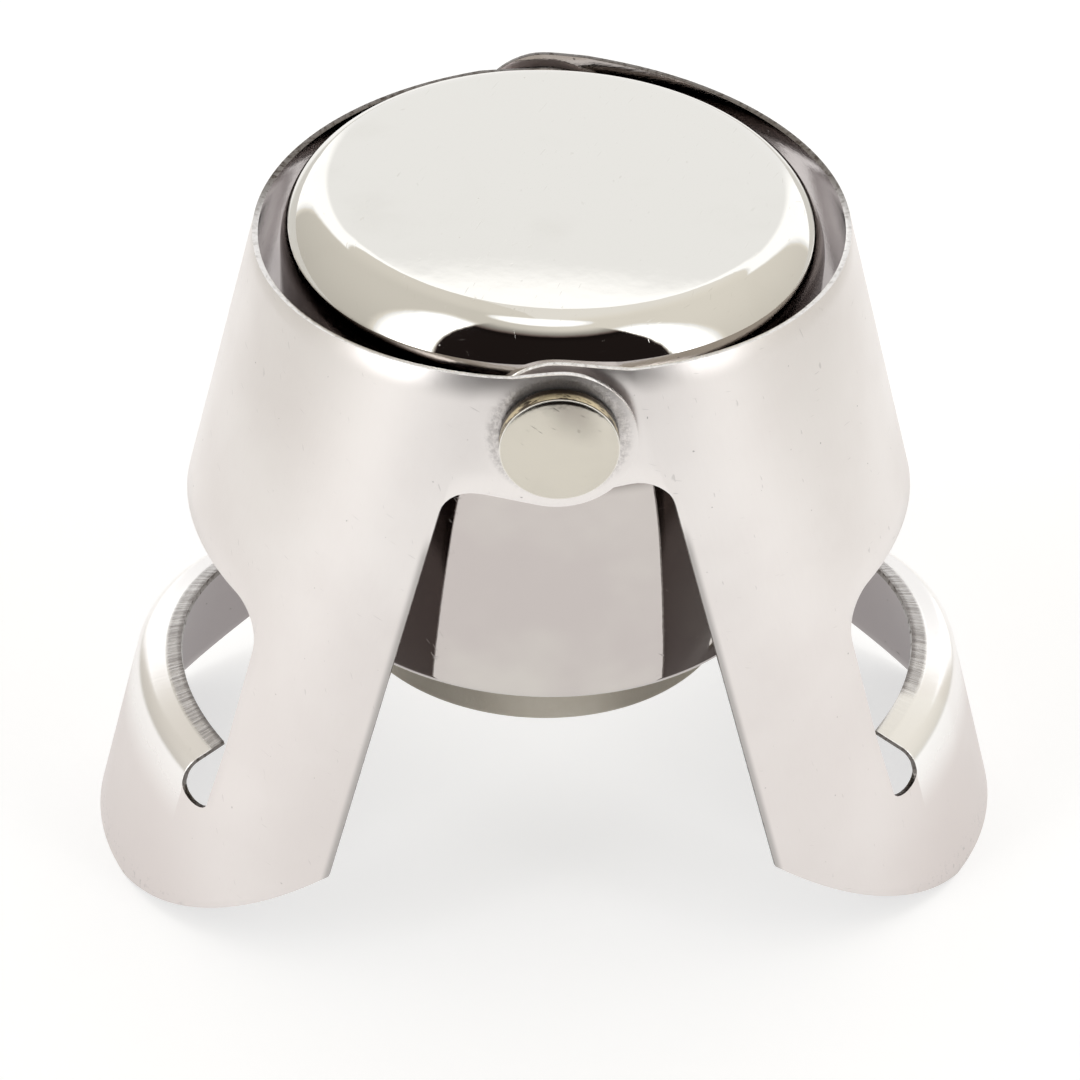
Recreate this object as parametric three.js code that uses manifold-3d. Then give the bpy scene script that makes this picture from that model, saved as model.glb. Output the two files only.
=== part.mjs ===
// A sparkling-wine bottle stopper: a drawn metal cap with a sprung rubber seal, and two
// folding sheet-metal wings riveted to its sides, whose hooked feet grip under the
// bottle's collar. Millimetres, +Z up, the origin on the table midway between the feet.
import * as THREE from "three";
import { mergeVertices } from "three/addons/utils/BufferGeometryUtils.js";
import Module from "manifold-3d";

const wasm = await Module();
wasm.setup();

// Driving dimensions, in millimetres unless an angle.
// Levels are measured down (drop) or up (rise) from the hinge axis.
const standHeight = 46.3; // hinge axis above the table, wings spread as they stand
const leftTilt = 14.4; // degrees that each wing leans out at rest
const rightTilt = 13.8;
const capLean = 1.9; // degrees that the cap hangs to the right between its wings
const runGap = 0.25; // between faces that turn on each other
const seatGap = 0.1; // between pieces riveted or pressed together
const overrun = 1; // by which a cutting tool passes the face it cuts

// The cap.
const capRadius = 17.8;
const capSheet = 0.6;
const skirtDrop = 23.8;
const shoulderRise = 3.25; // where the wall starts to curve in
const shoulderRound = 3;
const crownSlope = 4; // degrees of the gently domed crown where the shoulder meets it
const capLipWidth = 2.7; // the skirt's edge, rolled in under the seal's flange
const capLipBend = 0.9;

// The wings: sheet metal bent to a half tube, ears at its upper ends.
const wingClearance = 2.2; // between the cap's wall and a wing's inner face
const sheet = 0.6;
const lap = 0.38; // by which each wing is set off along the hinge
const rimRise = 4.4;
const rimFall = 6.4; // how much lower the rim lies in the middle than at the ears
const earRadius = 5.1;
const lappedEarTrim = 0.35; // the lapped ear's disc is smaller, so that it hides behind the other
const throatHalfWidth = 6; // the legs' edges beside the gap between the two wings
const throatFillet = 2.5;
const windowDrop = 23.3;
const windowCorner = 3;
const windowHalfAngle = 44.4;
const notchDrop = 41.2;
const tongueHalfAngle = 36.8;
const tongueSwell = 0.4; // the foot stands out a little beyond the legs
const swellFade = 7;
const legCornerDrop = 40.6;
const heelDrop = 53.6; // of the foot's outline, before the table's plane trims it
const footRoundPower = 2.6;
const hookReach = 2.9; // inwards from the foot's outer face to the hook's edge
const lipDrop = 37.5;
const hookAngle = 26; // degrees that the hook falls from its edge to its bend
const bendRadius = 1.6;

// The rivets, their bushes and washers.
const shankRadius = 1.9;
const rivetHeadRadius = 3.9;
const rivetHeadHeight = 1.25;
const rivetCrown = 0.35;
const rivetEdgeRound = 0.3;
const rivetTailRadius = 2.6;
const rivetTailHeight = 0.9;
const bushRadius = 3.3;
const washerRadius = 3.1;
const washerHeight = 0.8;

// The seal and what presses it.
const sealClearance = 0.5; // between the seal and the skirt's rolled-in edge
const sealProud = 5; // seal below the skirt's edge
const sealFlangeGap = 0.9; // between the seal's flange and the cap's wall
const sealFlangeHeight = 2;
const sealEdgeRound = 0.7;
const sealWell = 0.8; // shallow ring moulded in the seal's face
const sealBorder = 5.4; // flat ring round the well
const plateHeight = 1.2;
const plateRimHeight = 2.4;
const plateEdgeGap = 0.8;
const springRadius = 9.4;
const wireRadius = 0.7;
const springTurns = 6;
const springDeadTurns = 1; // closed turns at each end

// Counts.
const capFacets = 64;
const smallFacets = 24;
const shoulderSteps = 9;
const crownSteps = 4;
const earSteps = 7;
const legSteps = 6;
const tongueSteps = 14;
const bendSteps = 6;
const cornerSteps = 3;
const springStepsPerTurn = 8;
const springSides = 5;

// Rows of the wing's grid that stop at the ear, and that the window takes out.
const EAR_ROW = 0;
const WINDOW_ROW = 2;

const radians = THREE.MathUtils.degToRad;
const smooth = (value, from, to) => THREE.MathUtils.smoothstep((value - from) / (to - from), 0, 1);
const lerp = THREE.MathUtils.lerp;

// Sizes that follow from the cap's.
const capInside = capRadius - capSheet;
const wallRadius = capRadius + wingClearance + sheet; // to a wing's outer face
const lipRadius = wallRadius + tongueSwell - hookReach; // from the wing's axis to its hook
const sealRadius = capInside - capLipWidth - sealClearance;
const sealWellRadius = sealRadius - sealBorder;

// Distances from the cap's axis, along the hinge, at which the riveted pieces meet.
// Each wing is set off along the hinge, so that its one ear laps over the other wing's.
// Both ears are flat: the lapping one ends the tube early, the lapped one as deep as the
// tube is beside it, so that neither meets the other wing's wall as they turn.
const headSeat = wallRadius + runGap;
const lappedPlace = Math.sqrt(wallRadius ** 2 - (earRadius + runGap) ** 2);
const innerEarFace = lappedPlace - lap - sheet;
const washerFace = Math.sqrt(capInside ** 2 - washerRadius ** 2) - seatGap;
const tailSeat = washerFace - washerHeight - seatGap;

// Boolean work: a three.js geometry as a solid, and back.
function solidOf(geometry) {
  const bare = geometry.index ? geometry.toNonIndexed() : geometry.clone();
  bare.deleteAttribute("normal");
  bare.deleteAttribute("uv");
  const merged = mergeVertices(bare, 1e-4);
  return new wasm.Manifold(
    new wasm.Mesh({
      numProp: 3,
      vertProperties: new Float32Array(merged.attributes.position.array),
      triVerts: new Uint32Array(merged.index.array),
    }),
  );
}

function geometryOf(solid) {
  const mesh = solid.getMesh();
  const geometry = new THREE.BufferGeometry();
  geometry.setAttribute("position", new THREE.BufferAttribute(mesh.vertProperties, 3));
  geometry.setIndex(new THREE.BufferAttribute(mesh.triVerts, 1));
  geometry.computeVertexNormals();
  return geometry;
}

// Points of a circular arc, from one angle to another in degrees.
function arc(centreX, centreY, radius, from, to, steps) {
  const points = [];
  for (let i = 0; i <= steps; i++) {
    const angle = radians(lerp(from, to, i / steps));
    const x = centreX + radius * Math.cos(angle);
    points.push(new THREE.Vector2(x, centreY + radius * Math.sin(angle)));
  }
  return points;
}

// A closed profile (distance from the axis, height) turned about Z.
function turnedAboutZ(profile, facets) {
  return new THREE.LatheGeometry([...profile, profile[0]], facets).rotateX(Math.PI / 2);
}

// The same about Y, the hinge's direction, height counted from the cap's axis.
function turnedAboutY(profile, facets) {
  return new THREE.LatheGeometry([...profile, profile[0]], facets);
}

// A bar along Y, for the holes that the rivets go through.
function hingeBar(radius, halfLength) {
  return solidOf(new THREE.CylinderGeometry(radius, radius, 2 * halfLength, smallFacets));
}

// Where the shoulder meets the crown, at an inset from the outer face, and the crown's ball.
function crownJoin(inset) {
  const round = shoulderRound - inset;
  const distance = capRadius - shoulderRound + round * Math.sin(radians(crownSlope));
  const level = shoulderRise + round * Math.cos(radians(crownSlope));
  return { distance, level, ball: distance / Math.sin(radians(crownSlope)) };
}

// Level of the crown at a distance from the cap's axis.
function crownLevel(distance, inset) {
  const join = crownJoin(inset);
  const drop = Math.sqrt(join.ball ** 2 - distance ** 2) - join.ball * Math.cos(radians(crownSlope));
  return join.level + drop;
}

// Outline of the cap's wall at an inset from its outer face: edge, shoulder and crown.
function capOutline(inset) {
  const bend = capLipBend - inset;
  const bendCentre = capRadius - capLipBend;
  const bottomBend = arc(bendCentre, -skirtDrop + capLipBend, bend, -90, 0, cornerSteps);
  const shoulderCentre = capRadius - shoulderRound;
  const round = shoulderRound - inset;
  const shoulder = arc(shoulderCentre, shoulderRise, round, 0, 90 - crownSlope, shoulderSteps);
  const crown = [];
  for (let i = 1; i <= crownSteps; i++) {
    const distance = crownJoin(inset).distance * (1 - i / crownSteps);
    crown.push(new THREE.Vector2(distance, crownLevel(distance, inset)));
  }
  const lipEnd = new THREE.Vector2(capInside - capLipWidth, -skirtDrop + inset);
  return [lipEnd, ...bottomBend, ...shoulder, ...crown];
}

function makeCapShell() {
  const profile = [...capOutline(0), ...capOutline(capSheet).reverse()];
  const shell = solidOf(turnedAboutZ(profile, capFacets));
  return geometryOf(shell.subtract(hingeBar(shankRadius + seatGap, capRadius + overrun)));
}

// Stations round the wing's section, from ear to ear: a place on the outer face, the way
// that the face looks, and its angle from the middle of the wing.
function wingStations() {
  const throatAngle = THREE.MathUtils.radToDeg(Math.acos(throatHalfWidth / wallRadius));
  const cornerAngle = THREE.MathUtils.radToDeg(windowCorner / wallRadius);
  const quarter = [];
  const spread = (from, to, steps) => {
    for (let i = 1; i <= steps; i++) {
      quarter.push(lerp(from, to, i / steps));
    }
  };
  spread(0, windowHalfAngle - cornerAngle, tongueSteps / 2 - 1);
  quarter.push(tongueHalfAngle);
  for (let i = 1; i <= cornerSteps; i++) {
    const turn = radians((90 * i) / cornerSteps);
    quarter.push(windowHalfAngle - cornerAngle * (1 - Math.sin(turn)));
  }
  spread(windowHalfAngle, throatAngle, legSteps);
  for (let i = 1; i <= cornerSteps; i++) {
    const x = throatHalfWidth - throatFillet * Math.sin(radians((90 * i) / cornerSteps));
    quarter.push(THREE.MathUtils.radToDeg(Math.acos(x / wallRadius)));
  }
  const half = (earPlace, reach) => {
    const creaseAngle = THREE.MathUtils.radToDeg(Math.asin(earPlace / wallRadius));
    const angles = [...quarter, creaseAngle, 90].map((angle) => Math.round(angle * 1e6) / 1e6);
    const stations = [...new Set(angles)].sort((a, b) => a - b);
    const places = stations.map((angle) => stationOnArc(angle, earPlace));
    for (let i = 1; i <= earSteps; i++) {
      places.push(stationOnEar(-reach * Math.sin(radians((84 * i) / earSteps)), earPlace));
    }
    return places;
  };
  const lapped = half(lappedPlace, earRadius - lappedEarTrim).map((station) => ({
    ...station,
    y: -station.y,
    ny: -station.ny,
    angle: -station.angle,
  }));
  return [...lapped.reverse(), stationOnArc(0, wallRadius), ...half(wallRadius - lap, earRadius)];
}

// A place on the tube, or on the ear's flat where that lies deeper.
function stationOnArc(angle, earPlace) {
  const x = wallRadius * Math.cos(radians(angle));
  const y = wallRadius * Math.sin(radians(angle));
  const flat = y >= earPlace;
  const nx = flat ? 0 : Math.cos(radians(angle));
  return { x, y: Math.min(y, earPlace), nx, ny: Math.sqrt(1 - nx ** 2), angle };
}

function stationOnEar(x, earPlace) {
  return { x, y: earPlace, nx: 0, ny: 1, angle: 90 };
}

// Levels below the hinge axis of the wing's outline at a station.
function discHeight({ x, y }) {
  const radius = earRadius - (y < 0 ? lappedEarTrim : 0);
  return Math.sqrt(Math.max(radius ** 2 - x ** 2, 0));
}

function rimDrop(station) {
  const line = -rimRise + (rimFall * station.x) / wallRadius;
  const disc = -discHeight(station);
  return station.x < 0 ? disc : Math.min(line, disc);
}

function earDrop(station) {
  const { x } = station;
  if (x < 0) {
    return discHeight(station);
  }
  const run = THREE.MathUtils.clamp(x - throatHalfWidth + throatFillet, 0, throatFillet);
  return earRadius + throatFillet - Math.sqrt(throatFillet ** 2 - run ** 2);
}

function windowLevel({ angle }) {
  const cornerAngle = THREE.MathUtils.radToDeg(windowCorner / wallRadius);
  const into = Math.abs(angle) - windowHalfAngle + cornerAngle;
  const share = THREE.MathUtils.clamp(into / cornerAngle, 0, 1);
  return windowDrop + windowCorner * (1 - Math.sqrt(1 - share ** 2));
}

function footLevel({ angle }) {
  const throatAngle = THREE.MathUtils.radToDeg(Math.acos(throatHalfWidth / wallRadius));
  const share = Math.min(Math.abs(angle) / throatAngle, 1);
  return lerp(heelDrop, legCornerDrop, share ** footRoundPower);
}

function swellOf(station, drop) {
  const round = 1 - smooth(Math.abs(station.angle), tongueHalfAngle, 2 * tongueHalfAngle);
  const down = smooth(drop, notchDrop - swellFade, notchDrop);
  return tongueSwell * round * down;
}

// The foot's profile from the hook's edge, out along the hook and round its bend, to the
// notch's level: distance from the wing's axis, level, and the way that the face looks.
function hookProfile() {
  const outer = wallRadius + tongueSwell;
  const centreOut = outer - bendRadius;
  const turn = radians(hookAngle);
  const fall = (centreOut + bendRadius * Math.sin(turn) - lipRadius) * Math.tan(turn);
  const centreDrop = lipDrop + fall + bendRadius * Math.cos(turn);
  const bend = arc(0, 0, 1, 90 - hookAngle, 0, bendSteps).map(({ x, y }) => ({
    out: centreOut + bendRadius * x,
    drop: centreDrop - bendRadius * y,
    nOut: x,
    nUp: y,
  }));
  const edge = { ...bend[0], out: lipRadius, drop: lipDrop };
  return [edge, ...bend, { out: outer, drop: notchDrop, nOut: 1, nUp: 0 }];
}

// Rows of levels down the wing at one station: rim, ear's foot, window's top, the hook's
// profile and the foot's edge. Every station has as many rows.
function wingRows(station, hook) {
  const wall = (drop) => ({ out: swellOf(station, drop), drop, nOut: 1, nUp: 0 });
  const window = windowLevel(station);
  const rows = [wall(rimDrop(station)), wall(earDrop(station)), { ...wall(window), out: 0 }];
  const foot = footLevel(station);
  const notch = Math.min(notchDrop, foot - overrun);
  const onTongue = Math.abs(station.angle) <= tongueHalfAngle;
  hook.forEach((point, i) => {
    const share = i / (hook.length - 1);
    const leg = wall(lerp(window + windowCorner, notch, share));
    rows.push(onTongue ? { ...point, out: point.out - wallRadius } : leg);
  });
  rows.push(wall(foot));
  return rows;
}

// Whether the wing has metal between two stations and two rows.
function hasMetal(left, right, row, hook) {
  const middle = Math.abs(left.angle + right.angle) / 2;
  const outward = (left.x + right.x) / 2;
  if (outward < throatHalfWidth) {
    return row === EAR_ROW;
  }
  if (middle < tongueHalfAngle) {
    return row !== WINDOW_ROW;
  }
  return middle > windowHalfAngle || row < WINDOW_ROW || row >= WINDOW_ROW + hook.length;
}

// A sheet with thickness, over a grid of places: both faces, and walls round every edge.
function sheetGeometry(outer, inner, present) {
  const columns = outer.length;
  const rows = outer[0].length;
  const positions = [...outer.flat(), ...inner.flat()].flatMap((p) => [p.x, p.y, p.z]);
  const at = (i, j, side) => side * columns * rows + i * rows + j;
  const index = [];
  const quad = (a, b, c, d) => index.push(a, b, c, a, c, d);
  const has = (i, j) => i >= 0 && j >= 0 && i < columns - 1 && j < rows - 1 && present(i, j);
  for (let i = 0; i < columns - 1; i++) {
    for (let j = 0; j < rows - 1; j++) {
      if (!has(i, j)) continue;
      quad(at(i, j, 0), at(i, j + 1, 0), at(i + 1, j + 1, 0), at(i + 1, j, 0));
      quad(at(i, j, 1), at(i + 1, j, 1), at(i + 1, j + 1, 1), at(i, j + 1, 1));
      const walls = [
        [has(i - 1, j), [i, j], [i, j + 1]],
        [has(i, j + 1), [i, j + 1], [i + 1, j + 1]],
        [has(i + 1, j), [i + 1, j + 1], [i + 1, j]],
        [has(i, j - 1), [i + 1, j], [i, j]],
      ];
      for (const [closed, from, to] of walls) {
        if (closed) continue;
        quad(at(...from, 1), at(...to, 1), at(...to, 0), at(...from, 0));
      }
    }
  }
  const geometry = new THREE.BufferGeometry();
  geometry.setAttribute("position", new THREE.Float32BufferAttribute(positions, 3));
  geometry.setIndex(index);
  return geometry;
}

// One wing in its own frame: hinge axis along Y through the origin, outward +X. The
// table's plane at the wing's tilt trims its foot.
function makeWing(tilt) {
  const hook = hookProfile();
  const stations = wingStations();
  const outer = [];
  const inner = [];
  for (const station of stations) {
    const place = ({ out, drop, nOut, nUp }, depth) => {
      const reach = out - depth * nOut;
      const y = station.y + station.ny * reach + lap;
      return new THREE.Vector3(station.x + station.nx * reach, y, -drop - depth * nUp);
    };
    const rows = wingRows(station, hook);
    outer.push(rows.map((row) => place(row, 0)));
    inner.push(rows.map((row) => place(row, sheet)));
  }
  const present = (i, j) => hasMetal(stations[i], stations[i + 1], j, hook);
  const blank = solidOf(sheetGeometry(outer, inner, present));
  const reach = wallRadius + heelDrop;
  const table = new THREE.BoxGeometry(2 * reach, 2 * reach, reach);
  table.translate(0, 0, -standHeight - reach / 2).rotateY(radians(tilt));
  const hole = hingeBar(shankRadius + runGap, wallRadius + lap + overrun);
  return geometryOf(blank.subtract(hole).subtract(solidOf(table)));
}

function makeRivet() {
  const headTop = headSeat + rivetHeadHeight;
  const profile = [
    new THREE.Vector2(0, tailSeat - rivetTailHeight),
    new THREE.Vector2(shankRadius, tailSeat - rivetTailHeight),
    new THREE.Vector2(rivetTailRadius, tailSeat - rivetTailHeight / 2),
    new THREE.Vector2(rivetTailRadius, tailSeat),
    new THREE.Vector2(shankRadius, tailSeat),
    new THREE.Vector2(shankRadius, headSeat),
    new THREE.Vector2(rivetHeadRadius, headSeat),
  ];
  const roundCentre = rivetHeadRadius - rivetEdgeRound;
  profile.push(...arc(roundCentre, headTop - rivetEdgeRound, rivetEdgeRound, 0, 90, cornerSteps));
  for (let i = 1; i <= crownSteps; i++) {
    const share = 1 - i / crownSteps;
    profile.push(new THREE.Vector2(roundCentre * share, headTop + rivetCrown * (1 - share ** 2)));
  }
  return new THREE.LatheGeometry(profile, smallFacets);
}

// A ring round the rivet between two distances from the cap's axis.
function makeRing(radius, from, to) {
  const bore = shankRadius + seatGap;
  const profile = [
    new THREE.Vector2(bore, from),
    new THREE.Vector2(radius, from),
    new THREE.Vector2(radius, to),
    new THREE.Vector2(bore, to),
  ];
  return turnedAboutY(profile, smallFacets);
}

// Levels below the hinge axis of the seal and what presses it.
const lipTop = -skirtDrop + capSheet;
const flangeBottom = lipTop + seatGap;
const flangeTop = flangeBottom + sealFlangeHeight;
const plateBottom = flangeTop + seatGap;
const plateTop = plateBottom + plateHeight;
const sealFace = -skirtDrop - sealProud;

function makeSeal() {
  const flangeRadius = capInside - sealFlangeGap;
  const profile = [
    new THREE.Vector2(0, sealFace + sealWell),
    new THREE.Vector2(sealWellRadius - sealWell, sealFace + sealWell),
    new THREE.Vector2(sealWellRadius, sealFace),
    ...arc(sealRadius - sealEdgeRound, sealFace + sealEdgeRound, sealEdgeRound, -90, 0, cornerSteps),
    new THREE.Vector2(sealRadius, flangeBottom),
    new THREE.Vector2(flangeRadius, flangeBottom),
    new THREE.Vector2(flangeRadius, flangeTop),
    new THREE.Vector2(0, flangeTop),
  ];
  return new THREE.LatheGeometry(profile, capFacets).rotateX(Math.PI / 2);
}

// The pressure plate: a pressed dish whose low rim keeps the spring in the middle.
function makePressurePlate() {
  const edge = capInside - plateEdgeGap;
  const rimInside = springRadius + wireRadius + runGap;
  const rimTop = plateBottom + plateRimHeight;
  const profile = [
    new THREE.Vector2(0, plateBottom),
    new THREE.Vector2(edge, plateBottom),
    new THREE.Vector2(edge, plateTop),
    new THREE.Vector2(rimInside + plateHeight, plateTop),
    new THREE.Vector2(rimInside + plateHeight, rimTop),
    new THREE.Vector2(rimInside, rimTop),
    new THREE.Vector2(rimInside, plateTop),
    new THREE.Vector2(0, plateTop),
  ];
  return new THREE.LatheGeometry(profile, capFacets).rotateX(Math.PI / 2);
}

// The compression spring's centre line: closed turns at both ends, open turns between.
class SpringLine extends THREE.Curve {
  constructor(bottom, top) {
    super();
    this.bottom = bottom;
    this.top = top;
  }

  getPoint(share, target = new THREE.Vector3()) {
    const turn = share * springTurns;
    const deadPitch = 2 * wireRadius + 2 * runGap;
    const deadRise = deadPitch * springDeadTurns;
    const openTurns = springTurns - 2 * springDeadTurns;
    const openRise = this.top - this.bottom - 2 * deadRise;
    const opened = THREE.MathUtils.clamp(turn - springDeadTurns, 0, openTurns);
    const height = this.bottom + deadPitch * (turn - opened) + (openRise * opened) / openTurns;
    const angle = 2 * Math.PI * turn;
    return target.set(springRadius * Math.cos(angle), springRadius * Math.sin(angle), height);
  }
}

// The coil as one tube, its section kept upright in the plane through the cap's axis.
function makeSpring() {
  const roof = crownLevel(springRadius + wireRadius, capSheet);
  const line = new SpringLine(plateTop + wireRadius + seatGap, roof - wireRadius - runGap);
  const steps = springTurns * springStepsPerTurn;
  const centres = [];
  for (let i = 0; i <= steps; i++) {
    centres.push(line.getPoint(i / steps));
  }
  console.log("spring: least gap to itself", leastSelfGap(centres).toFixed(2), "mm");
  const positions = [];
  for (const centre of centres) {
    const outward = new THREE.Vector3(centre.x, centre.y, 0).normalize();
    for (let k = 0; k < springSides; k++) {
      const angle = (2 * Math.PI * k) / springSides;
      const point = centre.clone().addScaledVector(outward, wireRadius * Math.cos(angle));
      positions.push(point.x, point.y, point.z + wireRadius * Math.sin(angle));
    }
  }
  const index = [];
  for (let i = 0; i < steps; i++) {
    for (let k = 0; k < springSides; k++) {
      const a = i * springSides + k;
      const b = i * springSides + ((k + 1) % springSides);
      index.push(a, a + springSides, b + springSides, a, b + springSides, b);
    }
  }
  for (let k = 1; k < springSides - 1; k++) {
    const last = steps * springSides;
    index.push(0, k, k + 1, last, last + k + 1, last + k);
  }
  const geometry = new THREE.BufferGeometry();
  geometry.setAttribute("position", new THREE.Float32BufferAttribute(positions, 3));
  geometry.setIndex(index);
  return geometry;
}

function leastSelfGap(centres) {
  let least = Infinity;
  centres.forEach((a, i) => {
    for (let j = i + springStepsPerTurn / 2; j < centres.length; j++) {
      least = Math.min(least, a.distanceTo(centres[j]) - 2 * wireRadius);
    }
  });
  return least;
}

const finish = {
  chrome: new THREE.MeshStandardMaterial({ color: "#dcdad4", roughness: 0.06, metalness: 1 }),
  wing: new THREE.MeshStandardMaterial({ color: "#d9d2cf", roughness: 0.25, metalness: 1 }),
  nickel: new THREE.MeshStandardMaterial({ color: "#c8c1b2", roughness: 0.15, metalness: 1 }),
  steel: new THREE.MeshStandardMaterial({ color: "#a9a7a4", roughness: 0.35, metalness: 1 }),
  rubber: new THREE.MeshStandardMaterial({ color: "#8f8b7e", roughness: 0.7, metalness: 0 }),
};

function named(name, geometry, material) {
  const mesh = new THREE.Mesh(geometry, material.clone());
  mesh.name = name;
  return mesh;
}

// The whole stopper, built round the hinge axis and stood on the table. The cap hangs
// between the wings with what it holds, a little off the upright. The feet reach out to
// each side alike of the origin.
const footReach = (tilt) => {
  const turn = radians(tilt);
  return (wallRadius + tongueSwell + standHeight * Math.sin(turn)) / Math.cos(turn);
};
const stopper = new THREE.Group();
stopper.position.set((footReach(leftTilt) - footReach(rightTilt)) / 2, 0, standHeight);
const cap = new THREE.Group();
cap.rotation.y = radians(capLean);
stopper.add(cap);

for (const [side, turn, tilt] of [["right", 0, rightTilt], ["left", Math.PI, leftTilt]]) {
  const swing = new THREE.Group();
  swing.rotation.z = turn;
  const wing = named(side + "_wing", makeWing(tilt), finish.wing);
  wing.rotation.y = -radians(tilt);
  swing.add(wing);
  stopper.add(swing);
}

for (const [end, turn] of [["back", 0], ["front", Math.PI]]) {
  const stack = new THREE.Group();
  stack.rotation.z = turn;
  const bush = makeRing(bushRadius, capRadius + seatGap, innerEarFace - runGap);
  const washer = makeRing(washerRadius, washerFace - washerHeight, washerFace);
  stack.add(named(end + "_rivet", makeRivet(), finish.nickel));
  stack.add(named(end + "_spacer_bush", bush, finish.steel));
  stack.add(named(end + "_backing_washer", washer, finish.steel));
  cap.add(stack);
}

cap.add(named("cap_shell", makeCapShell(), finish.chrome));
cap.add(named("pressure_plate", makePressurePlate(), finish.steel));
cap.add(named("seal", makeSeal(), finish.rubber));
cap.add(named("spring", makeSpring(), finish.steel));

const root = new THREE.Group();
root.add(stopper);

export default root;
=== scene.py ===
"""Dresses the sparkling-wine stopper: smooth sheet-metal wings, a mirror-bright cap, rivets,
seal and spring, each in its own finish, on a white table in soft studio light."""

import logging
import math
from dataclasses import dataclass
from enum import Enum
from typing import ClassVar

import bpy
from mathutils import Matrix, Vector

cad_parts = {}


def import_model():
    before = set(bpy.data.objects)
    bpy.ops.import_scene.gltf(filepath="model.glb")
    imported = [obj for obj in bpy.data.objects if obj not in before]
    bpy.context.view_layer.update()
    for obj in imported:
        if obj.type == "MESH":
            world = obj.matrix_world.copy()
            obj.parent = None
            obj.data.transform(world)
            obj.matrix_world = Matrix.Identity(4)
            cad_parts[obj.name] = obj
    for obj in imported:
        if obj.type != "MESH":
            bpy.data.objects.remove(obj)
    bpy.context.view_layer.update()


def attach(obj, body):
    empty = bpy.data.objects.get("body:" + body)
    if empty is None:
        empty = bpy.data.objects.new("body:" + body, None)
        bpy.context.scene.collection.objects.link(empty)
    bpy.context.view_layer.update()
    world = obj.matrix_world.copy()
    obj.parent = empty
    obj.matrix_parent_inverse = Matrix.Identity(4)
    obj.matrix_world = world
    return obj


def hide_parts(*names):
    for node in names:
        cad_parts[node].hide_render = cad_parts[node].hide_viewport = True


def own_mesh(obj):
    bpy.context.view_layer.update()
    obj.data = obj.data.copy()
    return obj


LOG = logging.getLogger("stopper")
MM = 0.001
TINY = 1e-9
MERGE_GAP = 0.002 * MM
Point = tuple[float, float]
Triple = tuple[float, float, float]
Colour = Triple
WHITE: Colour = (1.0, 1.0, 1.0)


# Shader graphs


class Wire:
    """The output of a shader node, ready for sums and products."""

    def __init__(self, graph: "Graph", socket: bpy.types.NodeSocket) -> None:
        """Keeps the socket and the graph that it belongs to."""
        self.graph = graph
        self.socket = socket

    def math(self, operation: str, *values: "Wire | float") -> "Wire":
        """A Math node on the given values."""
        return self.graph.node("Math", {"operation": operation}, dict(enumerate(values)))

    def __add__(self, other: "Wire | float") -> "Wire":
        """Sum."""
        return self.math("ADD", self, other)

    def __sub__(self, other: "Wire | float") -> "Wire":
        """Difference."""
        return self.math("SUBTRACT", self, other)

    def __rsub__(self, other: float) -> "Wire":
        """Difference from a number."""
        return self.math("SUBTRACT", other, self)

    def __mul__(self, other: "Wire | float") -> "Wire":
        """Product."""
        return self.math("MULTIPLY", self, other)

    def __pow__(self, other: float) -> "Wire":
        """Power."""
        return self.math("POWER", self, other)

    __radd__ = __add__
    __rmul__ = __mul__

    def larger(self, other: "Wire | float") -> "Wire":
        """The larger of the two."""
        return self.math("MAXIMUM", self, other)

    def size(self) -> "Wire":
        """The value without its sign."""
        return self.math("ABSOLUTE", self)

    def towards(self, target: float, share: "Wire") -> "Wire":
        """The value, moved by a share of the way to a target."""
        return self + (target - self) * share


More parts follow.
